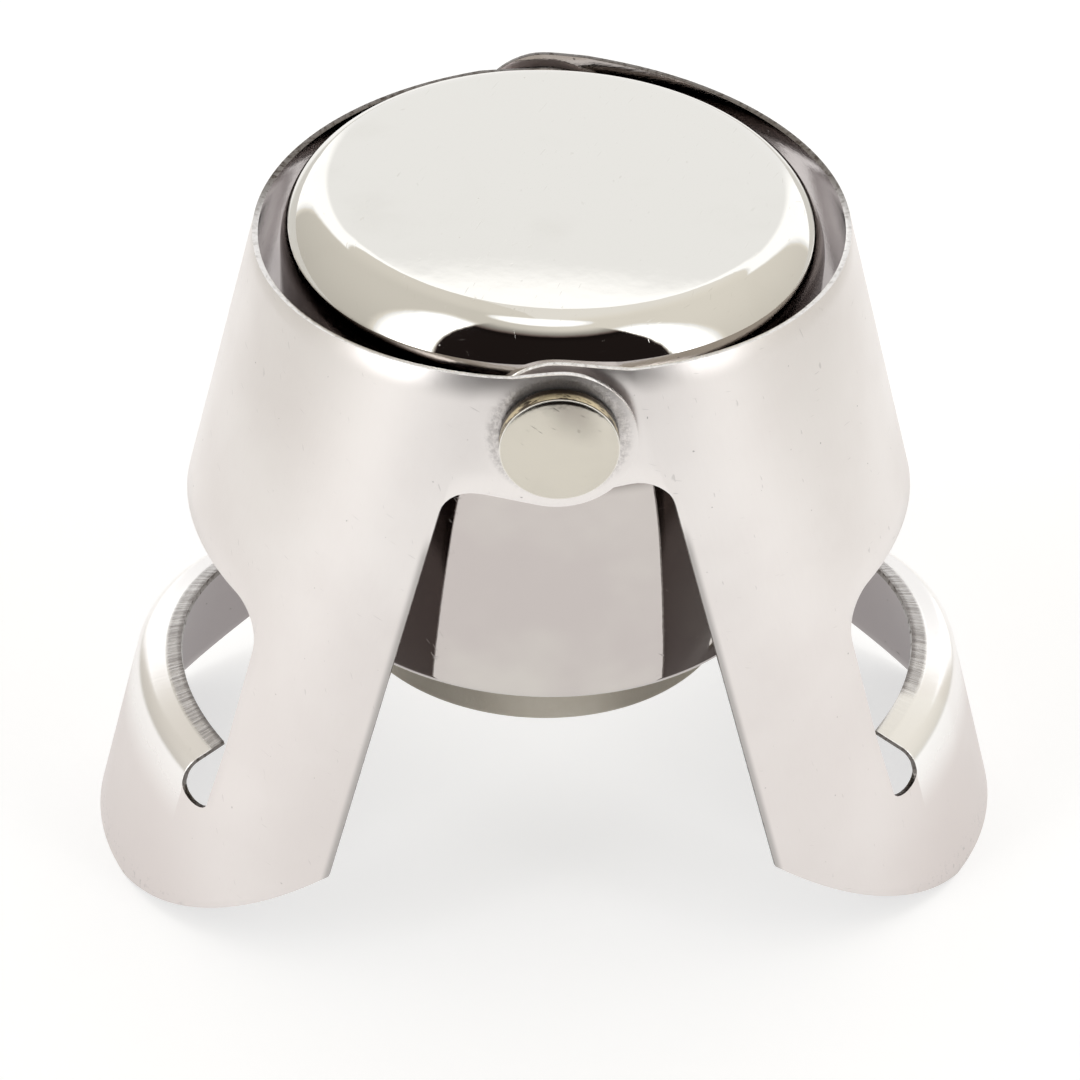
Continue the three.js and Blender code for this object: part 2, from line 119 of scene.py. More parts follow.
class Graph:
    """The node tree of one material or of the world."""

    def __init__(self, tree: bpy.types.NodeTree) -> None:
        """Empties the tree."""
        self.tree = tree
        tree.nodes.clear()

    def node(
        self,
        kind: str,
        settings: dict[str, object] | None = None,
        inputs: dict[str | int, object] | None = None,
        output: str | int = 0,
    ) -> Wire:
        """Adds a node.

        Args:
            kind: the node's type, without the leading ShaderNode.
            settings: its properties, which are set first.
            inputs: the value or the link of each socket.
            output: the socket that is handed back.

        Returns:
            The node's output, or a wire with no socket where the node has none.
        """
        made = self.tree.nodes.new("ShaderNode" + kind)
        for name, value in (settings or {}).items():
            setattr(made, name, value)
        for name, value in (inputs or {}).items():
            if isinstance(value, Wire):
                self.tree.links.new(value.socket, made.inputs[name])
            else:
                made.inputs[name].default_value = value
        outputs = made.outputs
        return Wire(self, outputs[output] if len(outputs) else None)

    def place(self) -> Wire:
        """The object coordinates, which are the part's own, in metres."""
        return self.node("TexCoord", output="Object")

    def parts(self, vector: Wire) -> tuple[Wire, Wire, Wire]:
        """The three coordinates of a vector."""
        split = self.node("SeparateXYZ", inputs={0: vector})
        return tuple(Wire(self, socket) for socket in split.socket.node.outputs)

    def joined(self, x: Wire | float, y: Wire | float, z: Wire | float) -> Wire:
        """A vector from its three coordinates."""
        return self.node("CombineXYZ", inputs={0: x, 1: y, 2: z})

    def turned(self, vector: Wire, turn: Triple, scale: Triple) -> Wire:
        """Turns a vector and then scales it.

        Args:
            vector: the vector.
            turn: the angles about the three axes, in degrees.
            scale: the factor along each axis.

        Returns:
            The new vector.
        """
        angles = tuple(math.radians(angle) for angle in turn)
        spun = self.node("VectorRotate", {"rotation_type": "EULER_XYZ"}, {0: vector, "Rotation": angles})
        return self.node("VectorMath", {"operation": "MULTIPLY"}, {0: spun, 1: scale})

    def noise(self, vector: Wire, scale: float, detail: float = 2.0, rough: float = 0.5) -> Wire:
        """Soft noise from 0 to 1."""
        inputs = {"Vector": vector, "Scale": scale, "Detail": detail, "Roughness": rough}
        return self.node("TexNoise", inputs=inputs, output="Fac")

    def step(self, value: Wire, low: float, high: float) -> Wire:
        """A smooth step from 0 at low to 1 at high."""
        inputs = {"Value": value, "From Min": low, "From Max": high}
        return self.node("MapRange", {"interpolation_type": "SMOOTHSTEP"}, inputs)

    def fall(self, value: Wire, low: float, high: float) -> Wire:
        """A smooth step from 1 at low to 0 at high."""
        return 1 - self.step(value, low, high)

    def band(self, value: Wire, low: float, high: float, soft: float) -> Wire:
        """1 between two values and 0 outside, with soft ends."""
        return self.step(value, low - soft, low + soft) * self.fall(value, high - soft, high + soft)

    def mix(self, share: Wire | float, first: Wire | Colour, second: Wire | Colour) -> Wire:
        """Mixes two colours.

        Args:
            share: how much of the second colour there is, from 0 to 1.
            first: the colour at 0.
            second: the colour at 1.

        Returns:
            The mixed colour.
        """
        colours = [c if isinstance(c, Wire) else (*c, 1) for c in (first, second)]
        inputs = {"Factor": share, 6: colours[0], 7: colours[1]}
        return self.node("Mix", {"data_type": "RGBA"}, inputs, output=2)

    def scratches(self, vector: Wire, turn: float, across: float, along: float, share: float) -> Wire:
        """Thin straight marks that all lie one way.

        Args:
            vector: the place on the piece.
            turn: the way that they lie, in degrees about each axis.
            across: how close they are, per metre.
            along: how short they are, per metre.
            share: how much of the surface is left without them, from 0 to 1.

        Returns:
            1 on a mark and 0 beside it.
        """
        lines = self.turned(vector, (turn, 0.6 * turn, turn), (across, along, along))
        return self.step(self.noise(lines, 1.0, 1.0), share, share + 0.05)

    def specks(self, vector: Wire) -> Wire:
        """1 on a few fine specks and 0 between them."""
        return self.step(self.noise(vector, 2600, 1), 0.80, 0.83)

    def bump(self, height: Wire, rise: float) -> Wire:
        """A normal from a height, whose full range stands for a rise in metres."""
        return self.node("Bump", inputs={"Height": height, "Distance": rise, "Strength": 1.0})


class Finish:
    """What every finish shares: a new material with one Principled surface. In the recipes,
    the scales of the noise are per metre and the factors are the strengths of the marks."""

    name: ClassVar[str]

    @staticmethod
    def start(name: str) -> tuple[bpy.types.Material, Graph]:
        """Makes a material with an empty graph.

        Args:
            name: the material's name.

        Returns:
            The material and its graph.
        """
        material = bpy.data.materials.new(name)
        material.use_nodes = True
        return material, Graph(material.node_tree)

    def inputs(self, graph: Graph) -> dict[str, object]:
        """Works out the surface, which each finish does for itself.

        Args:
            graph: the material's graph.

        Returns:
            The value or the link of each socket of the surface.
        """
        raise NotImplementedError

    def material(self) -> bpy.types.Material:
        """Makes the material.

        Returns:
            The finished material.
        """
        material, graph = self.start(self.name)
        surface = graph.node("BsdfPrincipled", inputs=self.inputs(graph))
        graph.node("OutputMaterial", inputs={"Surface": surface})
        return material


@dataclass(frozen=True)
class MirrorChrome(Finish):
    """Bright plating over drawn metal, with faint waves, haze and hairlines. Its colour also holds painted
    shade: a dark band where the wings hide the cap, and a dimmer, patchy colour lower down that stands in for
    the shaded table that it mirrors. Levels are metres over the hinge."""

    name: ClassVar[str] = "mirror_chrome"
    hinge_level: float
    lean: float = 0.0332
    painted_dim_to_shade: Point = (-0.0065, -0.0045)
    painted_shade_to_bright: Point = (0.0028, 0.0036)
    colour: Colour = (0.80, 0.785, 0.745)
    painted_dim: Colour = (0.56, 0.515, 0.50)
    painted_dim_patch: Colour = (0.63, 0.60, 0.565)
    painted_gap_shade: Colour = (0.10, 0.08, 0.07)
    worn: Colour = (0.66, 0.64, 0.59)
    roughness: float = 0.03
    relief: float = 0.000006

    def inputs(self, graph: Graph) -> dict[str, object]:
        """Marks the plating and lays its three zones over each other: the bright plating, and two zones of
        painted shade below it.

        Args:
            graph: the material's graph.

        Returns:
            The value or the link of each socket of the surface.
        """
        place = graph.place()
        haze = graph.step(graph.noise(place, 120, 4), 0.52, 0.78)
        marks = graph.scratches(place, 33, 9000, 500, 0.735)
        marks = marks.larger(graph.scratches(place, 112, 8000, 700, 0.74))
        pits = graph.specks(place)
        waves = graph.noise(place, 420, 2) + graph.noise(place, 1500, 2) * 0.22
        x, _, z = graph.parts(place)
        level = z + x * self.lean - self.hinge_level
        bright = graph.mix(haze * 0.25 + marks * 0.35 + pits * 0.5, self.colour, self.worn)
        # Painted shade: a dim, patchy colour low on the skirt, then a dark band where the wings hide the cap.
        patchy = graph.step(graph.noise(place, 85, 3), 0.4, 0.7)
        painted_dim = graph.mix(patchy, self.painted_dim, self.painted_dim_patch)
        painted_shade_zone = graph.mix(graph.step(level, *self.painted_dim_to_shade), painted_dim, self.painted_gap_shade)
        return {
            "Base Color": graph.mix(graph.step(level, *self.painted_shade_to_bright), painted_shade_zone, bright),
            "Metallic": 1.0,
            "Roughness": haze * 0.03 + marks * 0.12 + pits * 0.2 + self.roughness,
            "Normal": graph.bump(waves - marks * 0.25 - pits * 0.6, self.relief),
        }


@dataclass(frozen=True)
class SatinSteel(Finish):
    """Soft-polished stainless sheet: fine grain, specks and hairlines, a ring that the rivet has scuffed, and
    a hook with a burnish on its bend, coined at its edge. Painted shade darkens the sheet towards the bottom,
    more on the outer feet, and along the legs' edges, and a painted highlight lifts the hook's bend; it also
    has mottled dark patches just above the table. Places are in metres, but for those on the flat sheet,
    which are in millimetres."""

    name: ClassVar[str] = "satin_steel"
    hinge: Point
    ear_face: Point = (0.0200, 0.0203)
    scuffed_ring: Triple = (0.0037, 0.0047, 0.0003)
    polished_from: Point = (0.0, 0.001)
    polished_to: Point = (-0.0074, -0.0060)
    low_shade_rise: Point = (0.012, 0.042)
    foot_reach: Point = (0.022, 0.029)
    foot_rise: Point = (0.002, 0.019)
    bottom_mottle_rise: Point = (0.0008, 0.0026)
    border_along: Point = (25.7, 26.2)
    border_rise: Point = (0.036, 0.0385)
    coined_width: Point = (0.9, 1.25)
    coined_edge: Point = (0.1, 0.45)
    burnish_and_highlight_width: Point = (3.0, 7.5)
    colour: Colour = (0.885, 0.85, 0.83)
    shade: Colour = (0.70, 0.645, 0.625)
    scuff_and_shade: Colour = (0.42, 0.40, 0.39)
    bright: Colour = (0.95, 0.945, 0.93)
    pressing: Colour = (0.22, 0.20, 0.19)
    roughness: float = 0.3
    relief: float = 0.000012

    def inputs(self, graph: Graph) -> dict[str, object]:
        """Finds each worn or worked place on the sheet and each place of painted shade and highlight, and
        then tints them in turn.

        Args:
            graph: the material's graph.

        Returns:
            The value or the link of each socket of the surface.
        """
        place = graph.place()
        x, y, z = graph.parts(place)
        u, v, _ = graph.parts(graph.node("UVMap", {"uv_map": "sheet"}))
        lip = graph.node("Attribute", {"attribute_name": "lip"}, output="Fac")
        cloud = graph.step(graph.noise(place, 90, 4), 0.35, 0.75)
        grain = graph.noise(graph.joined(u * 5.0, v * 0.5, 0.0), 1.0, 3, 0.5)
        marks = graph.scratches(place, 64, 9000, 620, 0.76)
        marks = marks.larger(graph.scratches(place, 18, 7000, 800, 0.755))
        specks = graph.specks(place)
        mottle = graph.noise(place, 3200, 4, 0.7)
        ring = ((x - self.hinge[0]) ** 2.0 + (z - self.hinge[1]) ** 2.0) ** 0.5
        rub_and_painted_shade = graph.band(ring, *self.scuffed_ring) * graph.step(y.size(), *self.ear_face)
        scuffed = rub_and_painted_shade * graph.step(mottle, 0.36, 0.62)
        # The right hook's front, where the coined band is rubbed off and the painted highlight is stronger.
        polished = graph.step(x, *self.polished_from) * graph.fall(y, *self.polished_to)
        coined = graph.fall(lip, *self.coined_width) * (1 - polished * 0.9)
        pressed = graph.noise(graph.joined(u * 5.5, v * 0.6, 0.0), 1.0, 4, 0.7)
        # The hook's bend has a burnish that makes it smoother, and a painted highlight that lifts its colour.
        burnish_and_highlight = graph.fall(lip, *self.burnish_and_highlight_width)
        plain = 1 - burnish_and_highlight
        # Painted shade: darker towards the bottom of the sheet, and more on the outer feet.
        low = graph.fall(z, *self.low_shade_rise)
        foot = graph.step(x.size(), *self.foot_reach) * graph.fall(z, *self.foot_rise)
        # Painted shade along the legs' edges.
        border = graph.step(u.size(), *self.border_along) * graph.fall(z, *self.border_rise)
        # Mottled dark patches within about 2.6 mm of the table.
        bottom_mottle = graph.step(graph.noise(place, 2600, 4, 0.7), 0.56, 0.66) * graph.fall(z, *self.bottom_mottle_rise)
        dent = graph.step(pressed, 0.36, 0.66) * 0.4 + graph.fall(lip, *self.coined_edge) * 0.3 + 0.42

        tint = graph.mix(cloud * 0.25 + grain * 0.08, self.colour, self.shade)
        for share, colour in (
            (marks * 0.35 + specks * 0.8, self.scuff_and_shade),
            # Painted shade low on the sheet and on the outer feet.
            (low * plain * 0.42, self.shade),
            (foot * plain * 0.9, self.shade),
            # Painted highlight on the hook's bend, strongest on the right hook's front.
            (burnish_and_highlight * (polished * 0.4 + 0.5), self.bright),
            # Painted shade along the legs' edges, and mottled dark patches just above the table.
            (border * 0.82 + bottom_mottle * 0.5, self.scuff_and_shade),
            (scuffed * 0.4, self.scuff_and_shade),
            (coined * dent, self.pressing),
        ):
            tint = graph.mix(share, tint, colour)
        height = grain * 0.25 + graph.noise(place, 420, 2) * 0.8 - marks * 0.25 - specks * 0.7
        height = height + rub_and_painted_shade * mottle * 3.0 + coined * (pressed * 7.0 + 2.0)
        return {
            "Base Color": tint,
            "Metallic": 1.0,
            "Roughness": cloud * 0.06 + grain * 0.05 + scuffed * 0.1 - burnish_and_highlight * 0.11 + self.roughness,
            "Normal": graph.bump(height, self.relief),
        }


@dataclass(frozen=True)
class MillFace(Finish):
    """The sheet's unpolished inner face: mauve-grey and streaked along the bend. Its colour holds painted
    shade: darker low down round the cap's skirt, and darkest at the front. Places are in metres."""

    name: ClassVar[str] = "mill_face"
    inner_shade_rise: Point = (0.040, 0.045)
    deep_to_inner_shade: Point = (-0.006, 0.002)
    colour: Colour = (0.58, 0.54, 0.535)
    streak: Colour = (0.45, 0.41, 0.41)
    painted_inner_shade: Colour = (0.36, 0.33, 0.33)
    painted_deep_shade: Colour = (0.10, 0.08, 0.075)
    speck: Colour = (0.12, 0.105, 0.1)
    roughness: float = 0.06
    relief: float = 0.000008

    def inputs(self, graph: Graph) -> dict[str, object]:
        """Streaks the sheet and paints shade on it by height and depth.

        Args:
            graph: the material's graph.

        Returns:
            The value or the link of each socket of the surface.
        """
        place = graph.place()
        _, y, z = graph.parts(place)
        u, v, _ = graph.parts(graph.node("UVMap", {"uv_map": "sheet"}))
        streaks = graph.noise(graph.joined(u * 1.1, v * 6.0, 0.0), 1.0, 4, 0.6)
        cloud = graph.step(graph.noise(place, 240, 4), 0.4, 0.7)
        specks = graph.step(graph.noise(place, 2200, 1), 0.76, 0.8)
        tint = graph.mix(streaks * 0.35 + cloud * 0.35, self.colour, self.streak)
        # Painted shade low on the inner face, darkest at the front.
        painted_inner_shade = graph.mix(graph.step(y, *self.deep_to_inner_shade), self.painted_deep_shade, self.painted_inner_shade)
        tint = graph.mix(graph.step(z, *self.inner_shade_rise), painted_inner_shade, tint)
        return {
            "Base Color": graph.mix(specks * 0.7, tint, self.speck),
            "Metallic": 1.0,
            "Roughness": cloud * 0.04 + streaks * 0.04 + self.roughness,
            "Normal": graph.bump(streaks + cloud * 0.4 - specks, self.relief),
        }


@dataclass(frozen=True)
class CutEdge(Finish):
    """The sheet's sheared edge: bright and partly torn on the near rim, and darkened with painted shade on
    the far rim and below. Places are in metres."""

    name: ClassVar[str] = "cut_edge"
    far_from: Point = (-0.002, 0.006)
    rim_rise: Point = (0.038, 0.044)
    colour: Colour = (0.86, 0.84, 0.82)
    torn: Colour = (0.34, 0.32, 0.31)
    painted_edge_shade: Colour = (0.06, 0.045, 0.035)
    roughness: float = 0.16
    relief: float = 0.000015

    def inputs(self, graph: Graph) -> dict[str, object]:
        """Tears the edge in stripes and paints shade on it by place.

        Args:
            graph: the material's graph.

        Returns:
            The value or the link of each socket of the surface.
        """
        place = graph.place()
        _, y, z = graph.parts(place)
        tear = graph.noise(place, 2400, 4, 0.7)
        stripes = graph.noise(graph.turned(place, (0, 14, 0), (2600, 2600, 500)), 1.0, 2)
        dull = graph.step(tear, 0.45, 0.68)
        # Painted shade on the far rim and on every edge below the rim.
        dark = graph.step(y, *self.far_from).larger(graph.fall(z, *self.rim_rise))
        tint = graph.mix(dull * 0.4 + stripes * 0.15, self.colour, self.torn)
        return {
            "Base Color": graph.mix(dark * (dull * 0.15 + 0.82), tint, self.painted_edge_shade),
            "Metallic": 1.0,
            "Roughness": dull * 0.25 + stripes * 0.1 + self.roughness,
            "Normal": graph.bump(tear + stripes * 0.6, self.relief),
        }


@dataclass(frozen=True)
class BrightNickel(Finish):
    """The rivets' warm nickel: painted shade on the head's upper side, a worn bright corner, and a brassy,
    tarnished side with a dark line just below the corner and painted shade at its foot. Depths are metres
    below the head's corner."""

    name: ClassVar[str] = "bright_nickel"
    hinge: Point
    head_top: float
    head_shade_rise: Point = (0.0004, 0.0034)
    head_shade_shift: float = 0.0008
    head_shade_width: Point = (0.0004, 0.0022)
    side_depth: Point = (0.0, 0.00006)
    corner: Triple = (-0.00005, 0.00002, 0.00001)
    dark_line: Triple = (0.00004, 0.00016, 0.00003)
    painted_foot_shade: Point = (0.0006, 0.00085)
    colour: Colour = (0.64, 0.605, 0.53)
    dull: Colour = (0.36, 0.33, 0.29)
    brassy: Colour = (0.60, 0.52, 0.34)
    tarnish_and_shade: Colour = (0.06, 0.045, 0.03)
    worn: Colour = (0.95, 0.93, 0.88)
    roughness: float = 0.11
    relief: float = 0.000012

    def inputs(self, graph: Graph) -> dict[str, object]:
        """Tints the head, then its side and last its corner.

        Args:
            graph: the material's graph.

        Returns:
            The value or the link of each socket of the surface.
        """
        place = graph.place()
        x, y, z = graph.parts(place)
        aside = x - self.hinge[0]
        cloud = graph.step(graph.noise(place, 260, 4), 0.4, 0.75)
        marks = graph.scratches(place, 51, 9000, 900, 0.74)
        dents = graph.noise(place, 900, 3)
        # Painted shade on the upper part of the head, a little to the right.
        up = (z - self.hinge[1]) + aside * 0.35
        rub_and_painted_shade = graph.step(up, *self.head_shade_rise) * graph.fall((aside - self.head_shade_shift).size(), *self.head_shade_width)
        below = self.head_top - y.size()
        side = graph.step(below, *self.side_depth)
        edge = graph.band(below, *self.corner)
        spots = graph.step(graph.noise(graph.turned(place, (0, 0, 0), (1, 3, 1)), 900, 3, 0.7), 0.5, 0.6)
        # A dark line just below the corner, and painted shade at the side's foot, where the head meets the
        # ear.
        lines = graph.band(below, *self.dark_line).larger(graph.step(below, *self.painted_foot_shade))
        tint = graph.mix(cloud * 0.12 + marks * 0.3 + rub_and_painted_shade * 0.75, self.colour, self.dull)
        tint = graph.mix(side, tint, graph.mix(spots.larger(lines), self.brassy, self.tarnish_and_shade))
        return {
            "Base Color": graph.mix(edge, tint, self.worn),
            "Metallic": 1.0,
            "Roughness": cloud * 0.08 + marks * 0.15 + edge * 0.4 + side * 0.15 + self.roughness,
            "Normal": graph.bump(dents - marks * 0.3, self.relief),
        }


@dataclass(frozen=True)
class PlainSteel(Finish):
    """Turned or drawn steel inside the stopper, with fine rings and dull patches."""

    name: ClassVar[str] = "plain_steel"
    colour: Colour = (0.60, 0.585, 0.57)
    dull: Colour = (0.38, 0.36, 0.34)
    roughness: float = 0.3
    relief: float = 0.00002

    def inputs(self, graph: Graph) -> dict[str, object]:
        """Clouds the steel over its turning marks.

        Args:
            graph: the material's graph.

        Returns:
            The value or the link of each socket of the surface.
        """
        place = graph.place()
        cloud = graph.step(graph.noise(place, 220, 5), 0.42, 0.7)
        grain = graph.noise(graph.turned(place, (0, 0, 20), (900, 900, 5200)), 1.0, 3)
        return {
            "Base Color": graph.mix(cloud * 0.5 + grain * 0.2, self.colour, self.dull),
            "Metallic": 1.0,
            "Roughness": cloud * 0.15 + grain * 0.12 + self.roughness,
            "Normal": graph.bump(grain + cloud * 0.4, self.relief),
        }


@dataclass(frozen=True)
class SealRubber(Finish):
    """Matte olive-grey rubber with a dusty bloom and fine moulding grain."""

    name: ClassVar[str] = "seal_rubber"
    colour: Colour = (0.66, 0.61, 0.52)
    bloom: Colour = (0.76, 0.72, 0.64)
    roughness: float = 0.55
    relief: float = 0.00003

    def inputs(self, graph: Graph) -> dict[str, object]:
        """Dusts the rubber and rubs a little of the dust off.

        Args:
            graph: the material's graph.

        Returns:
            The value or the link of each socket of the surface.
        """
        place = graph.place()
        dust = graph.step(graph.noise(place, 180, 5, 0.6), 0.4, 0.72)
        grain = graph.noise(place, 3200, 3, 0.6)
        rub = graph.scratches(place, 24, 2600, 200, 0.68)
        return {
            "Base Color": graph.mix(dust * 0.6 + rub * 0.3, self.colour, self.bloom),
            "Roughness": dust * 0.15 - rub * 0.1 + self.roughness,
            "Normal": graph.bump(grain + dust * 0.5, self.relief),
        }


# Modelling


class Select(Enum):
    """What edit mode picks."""

    POINTS = "VERT"
    FACES = "FACE"


class Skin(Enum):
    """The wing's materials, by their place in its list."""

    OUTSIDE = 0
    EDGE = 1
    INSIDE = 2


class Bench:
    """The few steps by which every piece is worked."""

    @staticmethod
    def clear() -> None:
        """Leaves nothing selected."""
        bpy.ops.object.select_all(action="DESELECT")

    @classmethod
    def pick(cls, piece: bpy.types.Object) -> None:
        """Leaves one piece selected and active.

        Args:
            piece: the piece.
        """
        cls.clear()
        piece.select_set(True)
        bpy.context.view_layer.objects.active = piece

    @staticmethod
    def edit(piece: bpy.types.Object, kind: Select) -> None:
        """Opens a piece in edit mode with all of it selected.

        Args:
            piece: the piece.
            kind: what is picked from then on.
        """
        bpy.context.view_layer.objects.active = piece
        bpy.ops.object.mode_set(mode="EDIT")
        bpy.ops.mesh.select_mode(type=kind.value)
        bpy.ops.mesh.select_all(action="SELECT")

    @staticmethod
    def close() -> None:
        """Leaves edit mode."""
        bpy.ops.object.mode_set(mode="OBJECT")

    @staticmethod
    def adopt(name: str) -> bpy.types.Object:
        """Names the newest piece and moves its place into its mesh.

        Args:
            name: the piece's and the mesh's name.

        Returns:
            The piece.
        """
        piece = bpy.context.object
        piece.name = name
        piece.data.name = name
        bpy.ops.object.transform_apply(location=True, rotation=True, scale=True)
        return piece

    @classmethod
    def modify(cls, piece: bpy.types.Object, kind: str, **settings: object) -> None:
        """Adds a modifier and applies it.

        Args:
            piece: the piece.
            kind: the modifier's type.
            settings: the modifier's properties.
        """
        cls.pick(piece)
        modifier = piece.modifiers.new(kind.lower(), kind)
        for name, value in settings.items():
            setattr(modifier, name, value)
        bpy.ops.object.modifier_apply(modifier=modifier.name)

    @classmethod
    def smooth(cls, piece: bpy.types.Object, angle: float) -> None:
        """Shades a piece smooth, but for edges sharper than an angle in degrees."""
        cls.pick(piece)
        bpy.ops.object.shade_smooth_by_angle(angle=math.radians(angle))

    @classmethod
    def spin(
        cls, name: str, path: list[Vector], centre: Vector, axis: Vector, steps: int
    ) -> bpy.types.Object:
        """Turns a profile into a closed body.

        Args:
            name: the piece's name.
            path: the profile's corners, both ends on the axis, or closed if they meet.
            centre: a point on the axis.
            axis: the axis's way.
            steps: facets round the axis.

        Returns:
            The turned piece.
        """
        cls.clear()
        bpy.ops.mesh.primitive_plane_add(size=MM, location=path[0])
        piece = cls.adopt(name)
        cls.edit(piece, Select.POINTS)
        bpy.ops.mesh.merge(type="CENTER")
        for start, end in zip(path, path[1:]):
            bpy.ops.mesh.extrude_region_move(TRANSFORM_OT_translate={"value": end - start})
        bpy.ops.mesh.select_all(action="SELECT")
        bpy.ops.mesh.spin(steps=steps, angle=math.tau, center=centre, axis=axis)
        bpy.ops.mesh.select_all(action="SELECT")
        bpy.ops.mesh.remove_doubles(threshold=MERGE_GAP)
        bpy.ops.mesh.normals_make_consistent(inside=False)
        cls.close()
        return piece


def arc(centre: Point, radius: float, start: float, end: float, steps: int) -> list[Point]:
    """Points of a circular arc between two angles in degrees."""
    angles = [math.radians(start + (end - start) * i / steps) for i in range(steps + 1)]
    return [(centre[0] + radius * math.cos(a), centre[1] + radius * math.sin(a)) for a in angles]


def evenly(points: list[Point], gap: float) -> list[Point]:
    """Spaces the points of a line anew.

    Args:
        points: the line's corners.
        gap: about how far apart the new points are.

    Returns:
        Points on the same line, with its ends.
    """
    spots = [Vector(point) for point in points]
    lengths = [0.0]
    for a, b in zip(spots, spots[1:]):
        lengths.append(lengths[-1] + (b - a).length)
    count = max(2, round(lengths[-1] / gap))
    result, leg = [], 0
    for i in range(count + 1):
        want = lengths[-1] * i / count
        while leg < len(spots) - 2 and lengths[leg + 1] < want:
            leg += 1
        share = (want - lengths[leg]) / max(lengths[leg + 1] - lengths[leg], TINY)
        result.append(tuple(spots[leg].lerp(spots[leg + 1], share)))
    return result


def ease(value: float, low: float, high: float) -> float:
    """A smooth step from 0 at low to 1 at high."""
    share = min(max((value - low) / (high - low), 0.0), 1.0)
    return share * share * (3 - 2 * share)


@dataclass(frozen=True)
class Stance:
    """How the stopper stands, in millimetres and degrees."""

    hinge_height: float = 46.3
    hinge_shift: float = 0.2862
    left_tilt: float = 14.4
    right_tilt: float = 13.8
    cap_lean: float = 1.9

    @property
    def hinge(self) -> Vector:
        """The middle of the hinge axis, in metres."""
        return Vector((self.hinge_shift, 0, self.hinge_height)) * MM

    @property
    def hinge_spot(self) -> Point:
        """The hinge axis as seen from the front, in metres."""
        return (self.hinge.x, self.hinge.z)

    @property
    def cap_axis(self) -> Vector:
        """The way up of the leaning cap."""
        lean = math.radians(self.cap_lean)
        return Vector((math.sin(lean), 0, math.cos(lean)))

    @property
    def cap_across(self) -> Vector:
        """The way across the leaning cap, to the right."""
        return Vector((self.cap_axis.z, 0, -self.cap_axis.x))

    def in_cap(self, point: Point) -> Vector:
        """A profile point of the cap, distance from its axis and level, put in its place."""
        return self.hinge + (self.cap_across * point[0] + self.cap_axis * point[1]) * MM


@dataclass
class Body:
    """A sub-assembly: it builds pieces and hands them to the frame."""

    stance: Stance

    @staticmethod
    def dress(piece: bpy.types.Object, look: Finish, sharp: float) -> None:
        """Shades a piece smooth up to an angle in degrees, and gives it its finish."""
        Bench.smooth(piece, sharp)
        piece.data.materials.append(look.material())

    def hand_over(self, piece: bpy.types.Object, body: str, node: str, slot: str) -> None:
        """Lets a finished piece ride on its body in place of the frame's own node.

        Args:
            piece: the piece.
            body: the body that it moves with.
            node: the frame's node that it replaces.
            slot: the material slot's name, which is not used.
        """
        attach(piece, body)
        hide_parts(node)
        LOG.info("%s: %d faces", piece.name, len(piece.data.polygons))

    def turn_in_cap(self, name: str, profile: list[Point], steps: int) -> bpy.types.Object:
        """Spins a profile about the cap's leaning axis."""
        path = [self.stance.in_cap(point) for point in profile]
        return Bench.spin(name, path, self.stance.hinge, self.stance.cap_axis, steps)

    def turn_on_hinge(self, name: str, profile: list[Point], end: float, steps: int) -> bpy.types.Object:
        """Spins a profile, distance from the hinge axis and place along it, on one end."""
        path = [self.stance.hinge + Vector((r, end * along, 0)) * MM for r, along in profile]
        return Bench.spin(name, path, self.stance.hinge, Vector((0, 1, 0)), steps)


@dataclass
class CapShell(Body):
    """The drawn cap: a skirt that draws in below, clear of the closed wings, and is
    rolled in at its edge, and a flat crown. Sizes are in millimetres from the hinge."""

    radius: float = 18.6
    hem_radius: float = 17.85
    taper_start: float = -9.0
    sheet: float = 0.6
    skirt_drop: float = 24.05
    upper_centre: Point = (14.8, 3.25)
    upper_round: float = 3.0
    turn_over: float = 55.0
    crown_slope: float = 4.0
    lip_width: float = 2.7
    lip_bend: float = 0.65
    lip_steps: int = 8
    wall_gap: float = 2.0
    shoulder_steps: int = 18
    upper_steps: int = 14
    crown_rings: int = 24
    facets: int = 256
    sharp: float = 40.0

    def outline(self, inset: float) -> list[Point]:
        """The wall's outline from its rolled edge to the middle of the crown.

        Args:
            inset: how far the outline lies inside the outer face.

        Returns:
            Its points, distance from the axis and level.
        """
        edge = (self.hem_radius - self.sheet - self.lip_width, -self.skirt_drop + inset)
        bend_centre = (self.hem_radius - self.lip_bend, -self.skirt_drop + self.lip_bend)
        roll = arc(bend_centre, self.lip_bend - inset, -90, 0, self.lip_steps)
        turn, slope = math.radians(self.turn_over), math.radians(self.crown_slope)
        out, rise = self.upper_centre
        extra = (self.radius - out - self.upper_round) / (1 - math.cos(turn))
        centre = (out - extra * math.cos(turn), rise - extra * math.sin(turn))
        shoulder = arc(centre, self.upper_round + extra - inset, 0, self.turn_over, self.shoulder_steps)
        bend, top = self.upper_round - inset, 90 - self.crown_slope
        shoulder += arc(self.upper_centre, bend, self.turn_over, top, self.upper_steps)[1:]
        brim, level = shoulder[-1]
        ball = brim / math.sin(slope)
        low = level - ball * math.cos(slope)
        reach = [brim * (1 - i / self.crown_rings) for i in range(1, self.crown_rings + 1)]
        crown = [(out, low + math.sqrt(ball**2 - out**2)) for out in reach]
        wall = evenly([roll[-1], (self.radius - inset, self.taper_start), shoulder[0]], self.wall_gap)
        return [edge, *roll[:-1], *wall[:-1], *shoulder, *crown]

    def build(self) -> None:
        """Turns the shell."""
        profile = [*self.outline(0.0), *reversed(self.outline(self.sheet))]
        profile.append(profile[0])
        shell = self.turn_in_cap("cap_shell_dressed", profile, self.facets)
        self.dress(shell, MirrorChrome(self.stance.hinge.z), self.sharp)
        self.hand_over(shell, "cap", "cap_shell", "chrome_cap")


